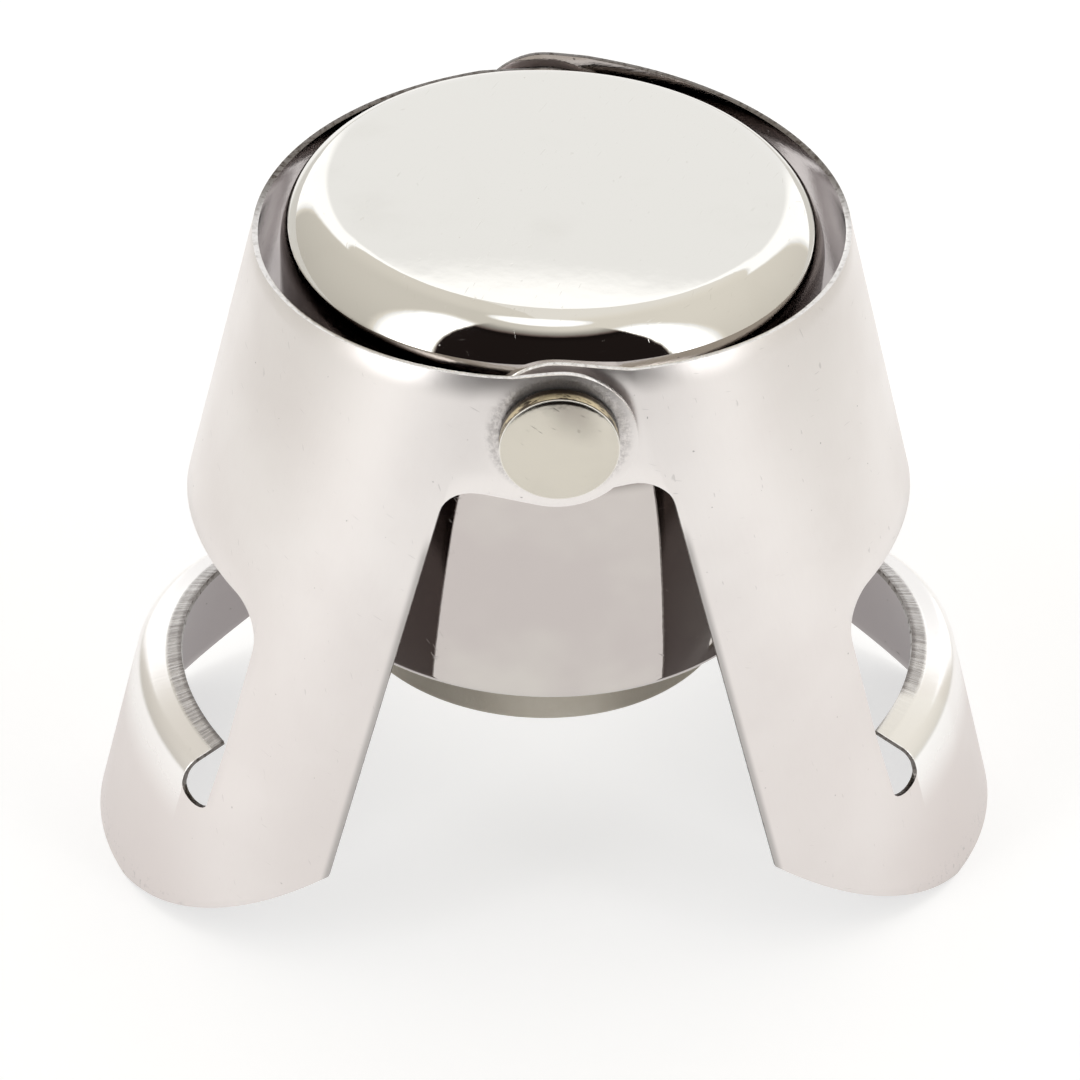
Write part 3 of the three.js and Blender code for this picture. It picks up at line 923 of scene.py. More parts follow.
@dataclass
class Seal(Body):
    """The rubber seal, the plate that presses it and the spring above the plate. Sizes are
    in millimetres from the hinge."""

    radius: float = 14.0
    face_drop: float = 29.05
    well: float = 0.8
    well_radius: float = 8.6
    well_land: float = 0.4
    edge_round: float = 0.7
    flange_radius: float = 16.9
    flange_drop: float = 23.3
    flange_height: float = 2.0
    flange_round: float = 0.3
    well_steps: int = 6
    edge_steps: int = 8
    round_steps: int = 4
    seal_facets: int = 192
    seal_sharp: float = 50.0
    plate_drop: float = 21.2
    plate_height: float = 1.2
    plate_rim: float = 2.4
    plate_radius: float = 17.0
    plate_round: float = 0.2
    rim_play: float = 0.25
    rim_round: float = 0.6
    rim_foot: float = 1.4
    rim_steps: int = 10
    plate_facets: int = 128
    steel_sharp: float = 40.0
    spring_radius: float = 9.4
    wire: float = 0.7
    wire_steps: int = 4
    spring_bottom: float = -19.25
    spring_top: float = 4.85
    turns: int = 6
    turn_steps: int = 36
    dead_pitch: float = 1.9
    travel: float = 8.8

    def build(self) -> None:
        """Makes the three pieces."""
        self.mould()
        self.stamp()
        self.wind()

    def mould(self) -> None:
        """Turns the seal, with a well in its face and a flange that the cap's lip holds."""
        face, under, soft = -self.face_drop, -self.flange_drop, self.flange_round
        top, rim = under + self.flange_height, self.flange_radius - soft
        corner = (self.radius - self.edge_round, face + self.edge_round)
        well = arc((self.well_radius - self.well, face), self.well, 90, 0, self.well_steps)
        side = arc(corner, self.edge_round, -90, 0, self.edge_steps)
        profile = [(0.0, face + self.well), *well, (self.well_radius + self.well_land, face), *side]
        profile += [(self.radius, under), *arc((rim, under + soft), soft, -90, 0, self.round_steps)]
        profile += [*arc((rim, top - soft), soft, 0, 90, self.round_steps), (0.0, top)]
        seal = self.turn_in_cap("seal_dressed", profile, self.seal_facets)
        self.dress(seal, SealRubber(), self.seal_sharp)
        self.hand_over(seal, "seal", "seal", "seal_rubber")

    def stamp(self) -> None:
        """Turns the plate, with a rim that keeps the spring in its middle."""
        bottom, soft, bend = -self.plate_drop, self.plate_round, self.rim_round
        top, crest = bottom + self.plate_height, bottom + self.plate_rim
        edge, rim = self.plate_radius - soft, self.spring_radius + self.wire + self.rim_play
        profile = [(0.0, bottom), *arc((edge, bottom + soft), soft, -90, 0, self.round_steps)]
        profile += [*arc((edge, top - soft), soft, 0, 90, self.round_steps), (rim + self.rim_foot, top)]
        profile += [*arc((rim + bend, crest - bend), bend, 0, 180, self.rim_steps), (rim, top), (0.0, top)]
        plate = self.turn_in_cap("pressure_plate_dressed", profile, self.plate_facets)
        self.dress(plate, PlainSteel(), self.steel_sharp)
        self.hand_over(plate, "seal", "pressure_plate", "inner_steel")

    def wind(self) -> None:
        """Winds the spring as one round wire, with a dead turn at each end."""
        live = self.turns - 2
        rise = self.spring_top - self.spring_bottom - 2 * self.dead_pitch
        line = bpy.data.curves.new("spring_dressed", "CURVE")
        line.dimensions = "3D"
        line.bevel_depth = self.wire * MM
        line.bevel_resolution = self.wire_steps
        line.use_fill_caps = True
        path = line.splines.new("POLY")
        path.points.add(self.turns * self.turn_steps)
        for i, point in enumerate(path.points):
            turn = i / self.turn_steps
            opened = min(max(turn - 1, 0), live)
            level = self.spring_bottom + self.dead_pitch * (turn - opened) + rise * opened / live
            angle = math.tau * turn
            flat = self.stance.cap_across * math.cos(angle) + Vector((0, math.sin(angle), 0))
            spot = self.stance.hinge + (flat * self.spring_radius + self.stance.cap_axis * level) * MM
            point.co = (*spot, 1)
        coil = bpy.data.objects.new("spring_dressed", line)
        bpy.context.collection.objects.link(coil)
        Bench.pick(coil)
        bpy.ops.object.convert(target="MESH")
        spring = bpy.context.object
        self.dress(spring, PlainSteel(), self.steel_sharp)
        self.hand_over(spring, "cap", "spring", "inner_steel")
        anchor = self.stance.in_cap((0.0, self.spring_top))
        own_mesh(spring)


@dataclass
class RivetStack(Body):
    """One rivet with the bush that spaces the ears and the washer inside the cap. Sizes are
    in millimetres, along the hinge from the cap's middle."""

    end: str = "front"
    shank: float = 1.9
    head_radius: float = 3.9
    head_seat: float = 20.85
    head_height: float = 1.25
    crown: float = 0.24
    crown_rings: int = 14
    edge_round: float = 0.05
    edge_turn: float = 76.0
    edge_steps: int = 8
    tail_radius: float = 2.6
    tail_seat: float = 16.528
    tail_height: float = 0.9
    tail_round: float = 0.4
    tail_steps: int = 5
    rivet_facets: int = 128
    rivet_sharp: float = 35.0
    bush_radius: float = 3.3
    bush: Point = (18.68, 18.86)
    washer_radius: float = 3.1
    washer: Point = (16.628, 17.428)
    bore_play: float = 0.1
    chamfer: float = 0.06
    ring_facets: int = 96
    ring_sharp: float = 30.0

    def build(self) -> None:
        """Makes the three pieces."""
        side = -1.0 if self.end == "front" else 1.0
        self.upset(side)
        self.ring("spacer_bush", self.bush_radius, self.bush, side)
        self.ring("backing_washer", self.washer_radius, self.washer, side)

    def upset(self, side: float) -> None:
        """Turns the rivet, with a slightly crowned head and a rounded tail.

        Args:
            side: -1 for the front end of the hinge and 1 for the back.
        """
        corner = self.head_seat + self.head_height - self.edge_round
        flat = self.head_radius - self.edge_round
        tail = self.tail_seat - self.tail_height
        tail_corner = (self.tail_radius - self.tail_round, tail + self.tail_round)
        foot = arc(tail_corner, self.tail_round, -90, 0, self.tail_steps)
        profile = [(0.0, tail), (self.shank, tail), *foot]
        profile += [(self.tail_radius, self.tail_seat), (self.shank, self.tail_seat)]
        profile += [(self.shank, self.head_seat), (self.head_radius, self.head_seat)]
        profile += arc((flat, corner), self.edge_round, 0, self.edge_turn, self.edge_steps)
        shares = [1 - i / self.crown_rings for i in range(1, self.crown_rings + 1)]
        top = self.head_seat + self.head_height
        profile += [(flat * share, top + self.crown * (1 - share**2)) for share in shares]
        rivet = self.turn_on_hinge(f"{self.end}_rivet_dressed", profile, side, self.rivet_facets)
        self.dress(rivet, BrightNickel(self.stance.hinge_spot, corner * MM), self.rivet_sharp)
        self.hand_over(rivet, "cap", f"{self.end}_rivet", "nickel_rivet")

    def ring(self, name: str, radius: float, reach: Point, side: float) -> None:
        """Turns a ring round the shank, with its outer corners broken.

        Args:
            name: the node's name, without its end.
            radius: the ring's outer radius.
            reach: where it starts and ends along the hinge.
            side: -1 for the front end of the hinge and 1 for the back.
        """
        bore, near, far, chamfer = self.shank + self.bore_play, *reach, self.chamfer
        profile = [(bore, near), (radius - chamfer, near), (radius, near + chamfer)]
        profile += [(radius, far - chamfer), (radius - chamfer, far), (bore, far), (bore, near)]
        piece = self.turn_on_hinge(f"{self.end}_{name}_dressed", profile, side, self.ring_facets)
        self.dress(piece, PlainSteel(), self.ring_sharp)
        self.hand_over(piece, "cap", f"{self.end}_{name}", "inner_steel")


@dataclass(frozen=True)
class Station:
    """A place round the wing's section, the way its face looks, and its angle."""

    x: float
    y: float
    nx: float
    ny: float
    angle: float


@dataclass(frozen=True)
class Strips:
    """How many strips each stretch of a wing takes: round its half section from the middle
    to the ear's end, and then down it from the rim to the foot."""

    window: int = 17
    corner: int = 2
    slot: int = 10
    leg: int = 14
    fillet: int = 8
    neck: int = 8
    ear: int = 22
    ear_down: int = 5
    wall_down: int = 8
    lip_down: int = 7
    roll_down: int = 16
    tail_down: int = 3
    foot_down: int = 10

    @property
    def hook_levels(self) -> int:
        """The levels from the hook's edge to the slots' ends."""
        return self.lip_down + self.roll_down + 1 + self.tail_down


class Side(Enum):
    """The two wings, by the way that they lean out."""

    LEFT = -1
    RIGHT = 1


@dataclass
class Wing(Body):
    """A wing: sheet bent to a half tube, two ears, a window and a hooked foot. Sizes are in
    millimetres and degrees, and drops and levels run down from the hinge."""

    side: Side = Side.RIGHT
    wall: float = 20.6
    sheet: float = 0.4
    edge_break: float = 0.07
    edge_segments: int = 2
    edge_sharp: float = 50.0
    sharp: float = 32.0
    lap: float = 0.38
    play: float = 0.25
    shank: float = 1.9
    bore_facets: int = 64
    rim_rise: float = 4.85
    rim_fall: float = 6.65
    rim_soft: float = 1.4
    rim_saddle: float = 0.35
    saddle_reach: float = 3.2
    neck_drop: float = 5.6
    ear_turn: float = 88.0
    lapped_trim: float = 0.35
    left_sink: float = 0.6
    throat: float = 6.0
    throat_fillet: float = 2.5
    window_drop: float = 23.3
    window_corner: float = 3.0
    window_angle: float = 44.4
    notch_drop: float = 41.2
    notch_round: float = 0.8
    foot_least: float = 1.0
    tongue_angle: float = 36.8
    tongue_swell: float = 0.4
    swell_fade: float = 7.0
    leg_drop: float = 40.6
    heel_drop: float = 53.6
    foot_power: float = 2.6
    lip_radius: float = 18.1
    lip_drop: float = 37.5
    hook_angle: float = 26.0
    bend: float = 1.6
    flat_ear: float = 32.4
    off_lip: float = 9.0
    tongue_margin: float = 0.5
    lip_margin: float = 1.0
    probe: float = 0.1
    inward: float = -0.03
    strips: Strips = Strips()

    @property
    def tilt(self) -> float:
        """How far the wing leans out, in radians."""
        lean = self.stance.left_tilt if self.side is Side.LEFT else self.stance.right_tilt
        return math.radians(lean)

    @property
    def ear(self) -> float:
        """The radius of the lapping ear."""
        return (self.rim_rise + self.neck_drop) / 2

    def throat_angle(self) -> float:
        """The angle of the leg's edge from the wing's middle."""
        return math.degrees(math.acos(self.throat / self.wall))

    def corner_angle(self) -> float:
        """The angle that a window's corner takes."""
        return math.degrees(self.window_corner / self.wall)

    def on_arc(self, angle: float, ear_place: float) -> Station:
        """A place on the tube, or on the ear's flat where that lies deeper.

        Args:
            angle: the place's angle from the wing's middle.
            ear_place: how far the ear's flat lies from the wing's middle plane.

        Returns:
            The station there.
        """
        x, y = self.wall * math.cos(math.radians(angle)), self.wall * math.sin(math.radians(angle))
        nx = 0.0 if y >= ear_place else math.cos(math.radians(angle))
        return Station(x, min(y, ear_place), nx, math.sqrt(1 - nx**2), angle)

    def angles(self) -> list[float]:
        """The cuts round half the tube, closest where its edges bend.

        Returns:
            Their angles from the wing's middle, without the middle itself.
        """
        strips, throat = self.strips, self.throat_angle()
        window, tongue = self.window_angle, self.tongue_angle
        start, slot = window - self.corner_angle(), window - tongue
        turns = [math.pi * i / strips.slot for i in range(1, strips.slot + 1)]
        bends = [math.radians(90 * i / strips.fillet) for i in range(1, strips.fillet + 1)]
        angles = [start * i / strips.window for i in range(1, strips.window + 1)]
        angles += [start + (tongue - start) * i / strips.corner for i in range(1, strips.corner + 1)]
        angles += [tongue + slot * (1 - math.cos(turn)) / 2 for turn in turns]
        angles += [window + (throat - window) * i / strips.leg for i in range(1, strips.leg + 1)]
        for bend in bends:
            x = self.throat - self.throat_fillet * (1 - math.cos(bend))
            angles.append(math.degrees(math.acos(x / self.wall)))
        last = angles[-1]
        angles += [last + (90 - last) * i / strips.neck for i in range(1, strips.neck + 1)]
        return sorted(angles)

    def half(self, ear_place: float, reach: float) -> list[Station]:
        """The stations of half the section, without the one in its middle.

        Args:
            ear_place: how far the ear's flat lies from the wing's middle plane.
            reach: how far the ear reaches beyond the hinge.

        Returns:
            The stations, out to the ear's end.
        """
        places = [self.on_arc(angle, ear_place) for angle in self.angles()]
        for i in range(1, self.strips.ear + 1):
            x = -reach * math.sin(math.radians(self.ear_turn * i / self.strips.ear))
            places.append(Station(x, ear_place, 0.0, 1.0, 90.0))
        return places

    def stations(self) -> list[Station]:
        """All places round the section.

        Returns:
            The stations, from the lapped ear to the lapping one.
        """
        lapped_place = math.sqrt(self.wall**2 - (self.ear + self.play) ** 2)
        lapped = self.half(lapped_place, self.ear - self.lapped_trim)
        mirrored = [Station(s.x, -s.y, s.nx, -s.ny, -s.angle) for s in lapped]
        return [*reversed(mirrored), self.on_arc(0.0, self.wall), *self.half(self.wall - self.lap, self.ear)]

    def ear_ends(self, station: Station) -> Point:
        """The levels of the ear's ends.

        Args:
            station: a place beyond the hinge.

        Returns:
            The levels of its top and of its bottom.
        """
        radius = self.ear - (self.lapped_trim if station.y < 0 else 0.0)
        half = math.sqrt(max(radius**2 - station.x**2, 0.0))
        return radius - self.rim_rise - half, radius - self.rim_rise + half

    def rim(self, station: Station) -> float:
        """The rim's level: it levels out into the ear's round top.

        Args:
            station: the place.

        Returns:
            The level there, lower on the left wing's far side, which the cap hides.
        """
        sunk = self.left_sink if self.side is Side.LEFT and station.y < 0 else 0.0
        sunk *= -station.y / self.wall * (1 - max(station.x, 0.0) / self.wall)
        if station.x < 0:
            return self.ear_ends(station)[0] + sunk
        out = math.hypot(station.x, self.rim_soft) - self.rim_soft
        saddle = self.rim_saddle * (1 - math.exp(-((station.x / self.saddle_reach) ** 2)))
        return self.rim_fall * out / self.wall + saddle - self.rim_rise + sunk

    def ear_foot(self, station: Station) -> float:
        """The level at which the ear, or the neck beside it, ends.

        Args:
            station: the place.

        Returns:
            The level there.
        """
        if station.x < 0:
            return self.ear_ends(station)[1]
        run = min(max(station.x - self.throat + self.throat_fillet, 0.0), self.throat_fillet)
        return self.neck_drop + self.throat_fillet - math.sqrt(self.throat_fillet**2 - run**2)

    def window_level(self, station: Station) -> float:
        """The level of the window's top.

        Args:
            station: the place.

        Returns:
            The level there, with a round corner at the window's side.
        """
        into = abs(station.angle) - self.window_angle + self.corner_angle()
        share = min(max(into / self.corner_angle(), 0.0), 1.0)
        return self.window_drop + self.window_corner * (1 - math.sqrt(1 - share**2))

    def foot_level(self, station: Station) -> float:
        """The level of the foot's edge, before the table trims it."""
        share = min(abs(station.angle) / self.throat_angle(), 1.0)
        return self.heel_drop + (self.leg_drop - self.heel_drop) * share**self.foot_power

    def notch_level(self, station: Station) -> float:
        """The level at which the slots beside the tongue end.

        Args:
            station: the place.

        Returns:
            The level there, round at the slot's bottom.
        """
        middle = (self.tongue_angle + self.window_angle) / 2
        half = (self.window_angle - self.tongue_angle) / 2
        share = min(abs(abs(station.angle) - middle) / half, 1.0)
        return self.notch_drop - self.notch_round * (1 - math.sqrt(1 - share**2))

    def swell(self, station: Station, drop: float) -> float:
        """How far the foot stands out beyond the tube."""
        around = 1 - ease(abs(station.angle), self.tongue_angle, 2 * self.tongue_angle)
        return self.tongue_swell * around * ease(drop, self.notch_drop - self.swell_fade, self.notch_drop)

    def hook(self, notch: float) -> list[Point]:
        """The hook's profile, from its edge round its bend to the slots' ends.

        Args:
            notch: the level at which the slots end.

        Returns:
            Its points, distance out and level.
        """
        strips, edge = self.strips, (self.lip_radius, self.lip_drop)
        outer = self.wall + self.tongue_swell
        centre_out, turn = outer - self.bend, math.radians(self.hook_angle)
        fall = (centre_out + self.bend * math.sin(turn) - self.lip_radius) * math.tan(turn)
        centre_drop = self.lip_drop + fall + self.bend * math.cos(turn)
        roll = arc((centre_out, -centre_drop), self.bend, 90 - self.hook_angle, 0, strips.roll_down)
        roll = [(out, -level) for out, level in roll]
        shares = [i / strips.lip_down for i in range(strips.lip_down)]
        slope = [tuple(a + (b - a) * share for a, b in zip(edge, roll[0])) for share in shares]
        below = roll[-1][1]
        shares = [i / strips.tail_down for i in range(1, strips.tail_down + 1)]
        return [*slope, *roll, *((outer, below + (notch - below) * share) for share in shares)]

    def run(self, station: Station, start: float, end: float, steps: int) -> list[Point]:
        """Even levels down the wall.

        Args:
            station: the place round the section.
            start: the level that they start from, which isn't one of them.
            end: the last level.
            steps: how many levels there are.

        Returns:
            The distance out and the level of each.
        """
        drops = [start + (end - start) * i / steps for i in range(1, steps + 1)]
        return [(self.wall + self.swell(station, drop), drop) for drop in drops]

    def rows(self, station: Station) -> list[Point]:
        """The levels down the wing.

        Args:
            station: the place round the section.

        Returns:
            The distance out and the level of each.
        """
        strips, rim, ear_foot = self.strips, self.rim(station), self.ear_foot(station)
        window, foot = self.window_level(station), self.foot_level(station)
        notch = min(self.notch_level(station), foot - self.foot_least)
        levels = [*self.run(station, rim, rim, 1), *self.run(station, rim, ear_foot, strips.ear_down)]
        levels += self.run(station, ear_foot, window, strips.wall_down)
        if abs(station.angle) <= self.tongue_angle + TINY:
            levels += self.hook(notch)
        else:
            start = window + self.window_corner
            levels += self.run(station, start, start, 1)
            levels += self.run(station, start, notch, strips.hook_levels - 1)
        return levels + self.run(station, notch, foot, strips.foot_down)

    def has_metal(self, left: Station, right: Station, row: int) -> bool:
        """Whether the wing has metal in a cell of the sheet.

        Args:
            left: the station at one side of the cell.
            right: the station at its other side.
            row: the level above the cell.

        Returns:
            False in the window, in the slots, and beyond the ears and legs.
        """
        top = self.strips.ear_down + self.strips.wall_down
        bottom = top + self.strips.hook_levels
        middle = abs(left.angle + right.angle) / 2
        if (left.x + right.x) / 2 < self.throat:
            return row < self.strips.ear_down
        if middle < self.tongue_angle:
            return row != top
        return middle > self.window_angle or row < top or row >= bottom

    def put(self, x: float, y: float, level: float) -> Vector:
        """A place in the wing's own frame, put where the wing stands."""
        c, s, side = math.cos(self.tilt), math.sin(self.tilt), float(self.side.value)
        return self.stance.hinge + Vector((side * (x * c - level * s), side * y, x * s + level * c)) * MM

    def own(self, spot: Vector) -> Triple:
        """The reverse of put.

        Args:
            spot: a place on the wing where it stands.

        Returns:
            The same place in the wing's own frame.
        """
        c, s, side = math.cos(self.tilt), math.sin(self.tilt), float(self.side.value)
        away = (spot - self.stance.hinge) / MM
        return (side * away.x * c + away.z * s, side * away.y, -side * away.x * s + away.z * c)

    def build(self) -> None:
        """Bends the sheet, gives it thickness, trims its foot and drills its ears."""
        name = f"{self.side.name.lower()}_wing"
        wing = self.bend_sheet(f"{name}_dressed")
        self.thicken(wing)
        self.drill(wing)
        self.line_inside(wing)
        self.mark(wing)
        Bench.smooth(wing, self.sharp)
        self.hand_over(wing, name, name, "polished_wing")

    def bend_sheet(self, name: str) -> bpy.types.Object:
        """Bends a flat grid to the wing's outer face and cuts its openings.

        Args:
            name: the piece's name.

        Returns:
            The face, without thickness.
        """
        stations = self.stations()
        rows = [self.rows(station) for station in stations]
        columns, levels = len(rows) - 1, len(rows[0]) - 1
        Bench.clear()
        bpy.ops.mesh.primitive_grid_add(x_subdivisions=columns, y_subdivisions=levels, size=1)
        wing = Bench.adopt(name)
        spots = [(vertex.co.x + 0.5, vertex.co.y + 0.5) for vertex in wing.data.vertices]
        cells = [(round(across * columns), round(down * levels)) for across, down in spots]
        for vertex, (i, j) in zip(wing.data.vertices, cells):
            station, (out, drop) = stations[i], rows[i][j]
            reach = out - self.wall
            y = station.y + station.ny * reach + self.lap
            vertex.co = self.put(station.x + station.nx * reach, y, -drop)
        Bench.edit(wing, Select.FACES)
        bpy.ops.mesh.flip_normals()
        bpy.ops.mesh.select_all(action="DESELECT")
        Bench.close()
        for face in wing.data.polygons:
            i, j = (min(cells[k][n] for k in face.vertices) for n in (0, 1))
            face.select = not self.has_metal(stations[i], stations[i + 1], j)
        bpy.ops.object.mode_set(mode="EDIT")
        bpy.ops.mesh.delete(type="FACE")
        bpy.ops.mesh.select_all(action="SELECT")
        bpy.ops.mesh.delete_loose()
        Bench.close()
        return wing

    def thicken(self, wing: bpy.types.Object) -> None:
        """Gives the sheet its thickness and broken edges, and trims its foot to the table.

        Args:
            wing: the bent face.
        """
        for look in (SatinSteel(self.stance.hinge_spot), CutEdge(), MillFace()):
            wing.data.materials.append(look.material())
        solid = {"thickness": self.sheet * MM, "offset": -1.0, "use_even_offset": True,
                 "use_quality_normals": True, "material_offset_rim": Skin.EDGE.value}
        Bench.modify(wing, "SOLIDIFY", **solid)
        corners = {"width": self.edge_break * MM, "segments": self.edge_segments,
                   "limit_method": "ANGLE", "angle_limit": math.radians(self.edge_sharp),
                   "use_clamp_overlap": True, "material": Skin.OUTSIDE.value}
        Bench.modify(wing, "BEVEL", **corners)
        Bench.edit(wing, Select.FACES)
        bpy.ops.mesh.bisect(plane_co=(0, 0, 0), plane_no=(0, 0, 1), use_fill=True, clear_inner=True)
        Bench.close()

    def drill(self, wing: bpy.types.Object) -> None:
        """Cuts the rivet's hole through both ears.

        Args:
            wing: the thick sheet.
        """
        Bench.clear()
        bore = {"vertices": self.bore_facets, "radius": (self.shank + self.play) * MM,
                "depth": 3 * self.wall * MM}
        bpy.ops.mesh.primitive_cylinder_add(**bore, location=self.stance.hinge, rotation=(math.pi / 2, 0, 0))
        drill = Bench.adopt("drill")
        Bench.modify(wing, "BOOLEAN", operation="DIFFERENCE", object=drill, solver="EXACT")
        bpy.data.objects.remove(drill)

    def line_inside(self, wing: bpy.types.Object) -> None:
        """Gives the faces that look into the tube their unpolished finish.

        Args:
            wing: the drilled sheet.
        """
        for face in wing.data.polygons:
            tip = face.center + face.normal * self.probe * MM
            away = math.hypot(*self.own(tip)[:2]) - math.hypot(*self.own(face.center)[:2])
            if face.material_index == Skin.OUTSIDE.value and away < self.inward:
                face.material_index = Skin.INSIDE.value

    def mark(self, wing: bpy.types.Object) -> None:
        """Lays the sheet's own coordinates on the wing, in millimetres: along and down it,
        and the distance from the hook's edge.

        Args:
            wing: the finished sheet.
        """
        mesh = wing.data
        lip = mesh.attributes.new("lip", "FLOAT", "POINT")
        flat = []
        for i, vertex in enumerate(mesh.vertices):
            x, y, level = self.own(vertex.co)
            y -= self.lap
            angle = math.degrees(math.atan2(y, x))
            near = math.hypot(math.hypot(x, y) - self.lip_radius, -level - self.lip_drop)
            on_tongue = abs(angle) < self.tongue_angle + self.tongue_margin
            on_tongue = on_tongue and self.lip_drop - self.lip_margin < -level
            lip.data[i].value = near if on_tongue else self.off_lip
            along = math.radians(angle) * self.wall if x > 0 else math.copysign(self.flat_ear - x, y)
            flat.append((along, -level))
        layer = mesh.uv_layers.new(name="sheet")
        for loop in mesh.loops:
            layer.data[loop.index].uv = flat[loop.vertex_index]


# The studio


@dataclass(frozen=True)
class Room:
    """The light round the table, where 1 is white. Turns are degrees from the viewed side,
    and rises are degrees above the table's level."""

    wall: float = 0.56
    right_gain: float = 0.12
    right_turn: Point = (-40, 40)
    upper_gain: float = 0.16
    upper_rise: Point = (-30, 55)
    behind_gain: float = 0.08
    behind_turn: Point = (120, 170)
    screen_shift: float = 5.5
    strip_level: float = 1.32
    strip_turn: Point = (134, 140)
    strip_rise: Point = (42.2, 43.8)
    panel_level: float = 1.0
    panel_turn: Point = (156, 164)
    panel_rise: Point = (37.5, 40.5)
    lamp_level: float = 2.7
    lamp_shift: float = 3.0
    lamp_turn: Point = (55, 77)
    lamp_rise: Point = (52, 68)
    zenith_level: float = 1.4
    zenith_rise: Point = (78, 82)
    dark_share: float = 0.996
    dark_turn: Point = (47, 51)
    dark_rise: Point = (60, 74)
    dim: Colour = (1.0, 0.72, 0.66)
    warm: Colour = (1.0, 0.955, 0.87)
    dim_to_warm: Point = (0.0, 0.4)
    warm_to_white: Point = (0.86, 1.0)

    def level(self, graph: Graph) -> Wire:
        """How bright the room is each way: pale walls, bright screens behind, two lamps
        beside a dark front, and a bright zenith.

        Args:
            graph: the world's graph.

        Returns:
            The brightness.
        """
        x, y, z = graph.parts(graph.node("TexCoord", output="Generated"))
        flat = (x * x + y * y) ** 0.5
        rise = x.math("ARCTAN2", z, flat) * math.degrees(1)
        turn = x.math("ARCTAN2", x, y * -1.0) * math.degrees(1)
        around, aside = turn.size(), (turn + self.screen_shift).size()
        level = graph.step(turn, *self.right_turn) * self.right_gain
        level = level + graph.step(rise, *self.upper_rise) * self.upper_gain
        level = level + graph.step(around, *self.behind_turn) * self.behind_gain + self.wall
        strips = graph.step(aside, *self.strip_turn) * graph.fall(rise, *self.strip_rise)
        level = level.towards(self.strip_level, strips)
        panel = graph.step(aside, *self.panel_turn) * graph.fall(rise, *self.panel_rise)
        level = level.towards(self.panel_level, panel)
        lamps = graph.fall((turn + self.lamp_shift).size(), *self.lamp_turn)
        level = level + lamps * graph.fall(rise, *self.lamp_rise) * self.lamp_level
        level = level.towards(self.zenith_level, graph.step(rise, *self.zenith_rise))
        front = graph.fall(around, *self.dark_turn) * graph.fall(rise, *self.dark_rise)
        return level * (1 - front * self.dark_share)

    def light(self) -> None:
        """Makes the world, which is plain white where the camera sees it."""
        world = bpy.data.worlds.new("studio")
        bpy.context.scene.world = world
        world.use_nodes = True
        graph = Graph(world.node_tree)
        level = self.level(graph)
        tint = graph.mix(graph.step(level, *self.dim_to_warm), self.dim, self.warm)
        tint = graph.mix(graph.step(level, *self.warm_to_white), tint, WHITE)
        tint = graph.node("VectorMath", {"operation": "SCALE"}, {0: tint, "Scale": level})
        seen = graph.node("LightPath", output="Is Camera Ray")
        light = graph.node("Background", inputs={"Color": graph.mix(seen, tint, WHITE), "Strength": 1.0})
        graph.node("OutputWorld", inputs={"Surface": light})


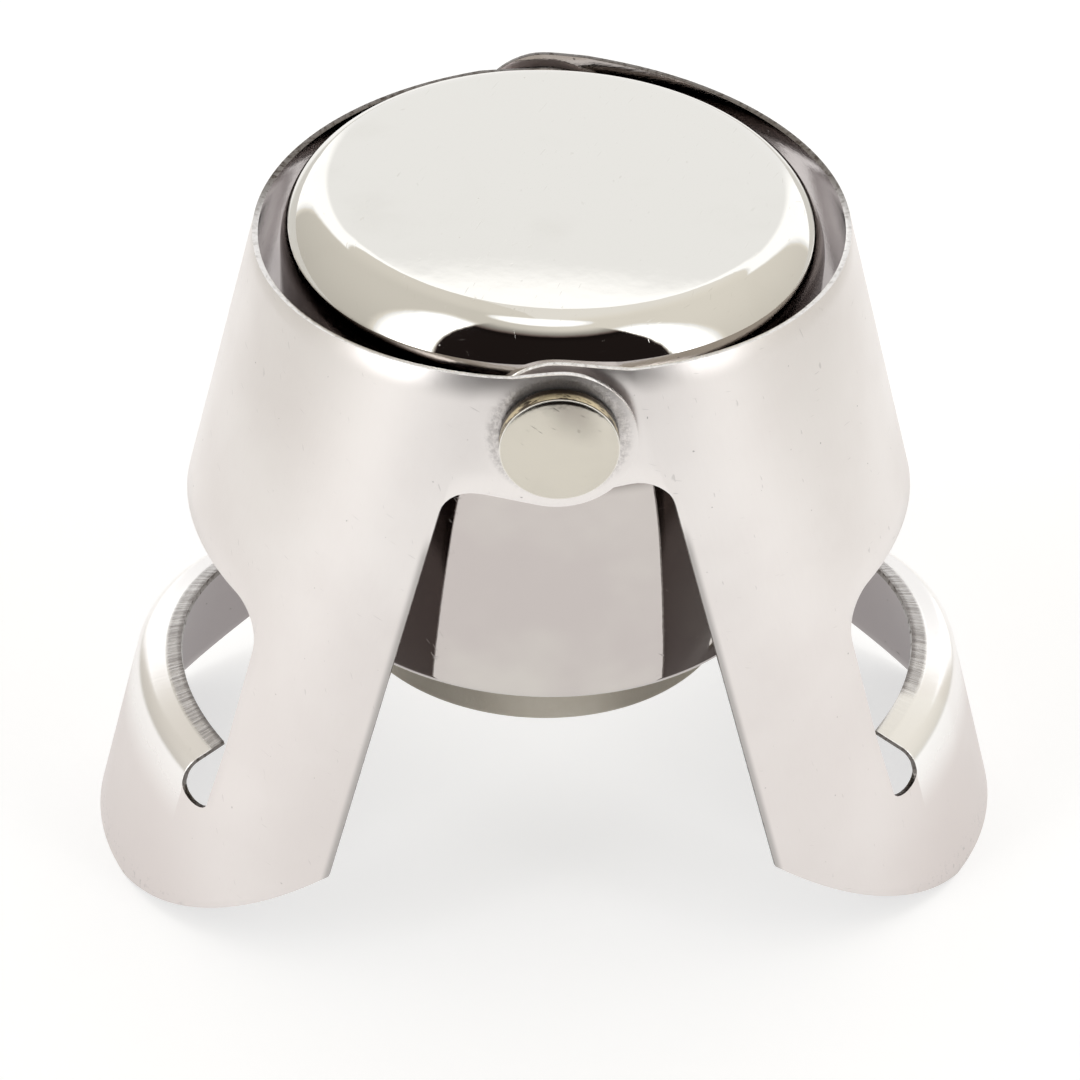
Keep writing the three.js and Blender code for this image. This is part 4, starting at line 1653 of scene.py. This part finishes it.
@dataclass(frozen=True)
class Table:
    """The white table, in metres. It keeps the stopper's soft shadow, and glows a little
    where it is seen or mirrored, so that it looks white."""

    size: float = 1.6
    middle: Triple = (0, 0.65, -0.02 * MM)
    glow_share: float = 0.43
    glow: float = 1.46
    glow_edge: Point = (0.085, 0.15)
    edge_colour: Colour = (0.5, 0.49, 0.46)
    paper: tuple[Colour, Colour] = ((0.86,) * 3, (0.9,) * 3)

    def build(self) -> None:
        """Lays the table, which can't be seen from below."""
        Bench.clear()
        bpy.ops.mesh.primitive_plane_add(size=self.size, location=self.middle)
        floor = Bench.adopt("floor")
        material, graph = Finish.start("white_table")
        place = graph.place()
        paper = graph.node("BsdfDiffuse", inputs={"Color": graph.mix(graph.noise(place, 40, 3), *self.paper)})
        # Painted shade: the glow, though not the paper, dims towards the table's sides, so the wings mirror a
        # darker table there.
        edge = graph.step(graph.parts(place)[0].size(), *self.glow_edge)
        colour = graph.mix(edge, WHITE, self.edge_colour)
        glow = graph.node("Emission", inputs={"Color": colour, "Strength": self.glow})
        seen = graph.node("LightPath", output="Is Camera Ray")
        mirrored = graph.node("LightPath", output="Is Glossy Ray")
        share = seen.larger(mirrored) * self.glow_share
        both = graph.node("MixShader", inputs={"Fac": share, 1: paper, 2: glow})
        under = graph.node("NewGeometry", output="Backfacing")
        clear = graph.node("BsdfTransparent")
        both = graph.node("MixShader", inputs={"Fac": under, 1: both, 2: clear})
        graph.node("OutputMaterial", inputs={"Surface": both})
        floor.data.materials.append(material)


@dataclass
class Studio:
    """The camera at the photograph's place, in the room with the table. The place is in
    millimetres and the angles are in degrees."""

    spot: Triple = (-5.977, -240.641, 201.189)
    azimuth: float = -1.3189
    elevation: float = 36.5493
    roll: float = 0.2532
    lens: float = 138.878
    sensor: float = 36.0
    nearest: float = 0.01

    def set_camera(self) -> None:
        """Puts the camera in its place."""
        a, e, r = (math.radians(v) for v in (self.azimuth, self.elevation, self.roll))
        back = Vector((math.sin(a) * math.cos(e), -math.cos(a) * math.cos(e), math.sin(e)))
        right = Vector((math.cos(a), math.sin(a), 0))
        up = right.cross(-back)
        across = right * math.cos(r) + up * math.sin(r)
        upward = up * math.cos(r) - right * math.sin(r)
        turn = Matrix((across, upward, back)).transposed().to_4x4()
        Bench.clear()
        bpy.ops.object.camera_add()
        camera = bpy.context.object
        camera.matrix_world = Matrix.Translation(Vector(self.spot) * MM) @ turn
        camera.data.lens = self.lens
        camera.data.sensor_width = self.sensor
        camera.data.clip_start = self.nearest
        bpy.context.scene.camera = camera
        LOG.info("camera at %s mm", self.spot)

    def build(self) -> None:
        """Sets the whole studio."""
        self.set_camera()
        Room().light()
        Table().build()
        bpy.context.scene.view_settings.view_transform = "Standard"


def main() -> None:
    """Builds every piece in order."""
    logging.basicConfig(level=logging.INFO, format="%(message)s")
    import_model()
    stance = Stance()
    for part in (
        CapShell(stance),
        Seal(stance),
        RivetStack(stance, end="front"),
        RivetStack(stance, end="back"),
        Wing(stance, side=Side.LEFT),
        Wing(stance, side=Side.RIGHT),
        Studio(),
    ):
        part.build()
        LOG.info("%s is ready", type(part).__name__)


if __name__ == "__main__":
    main()
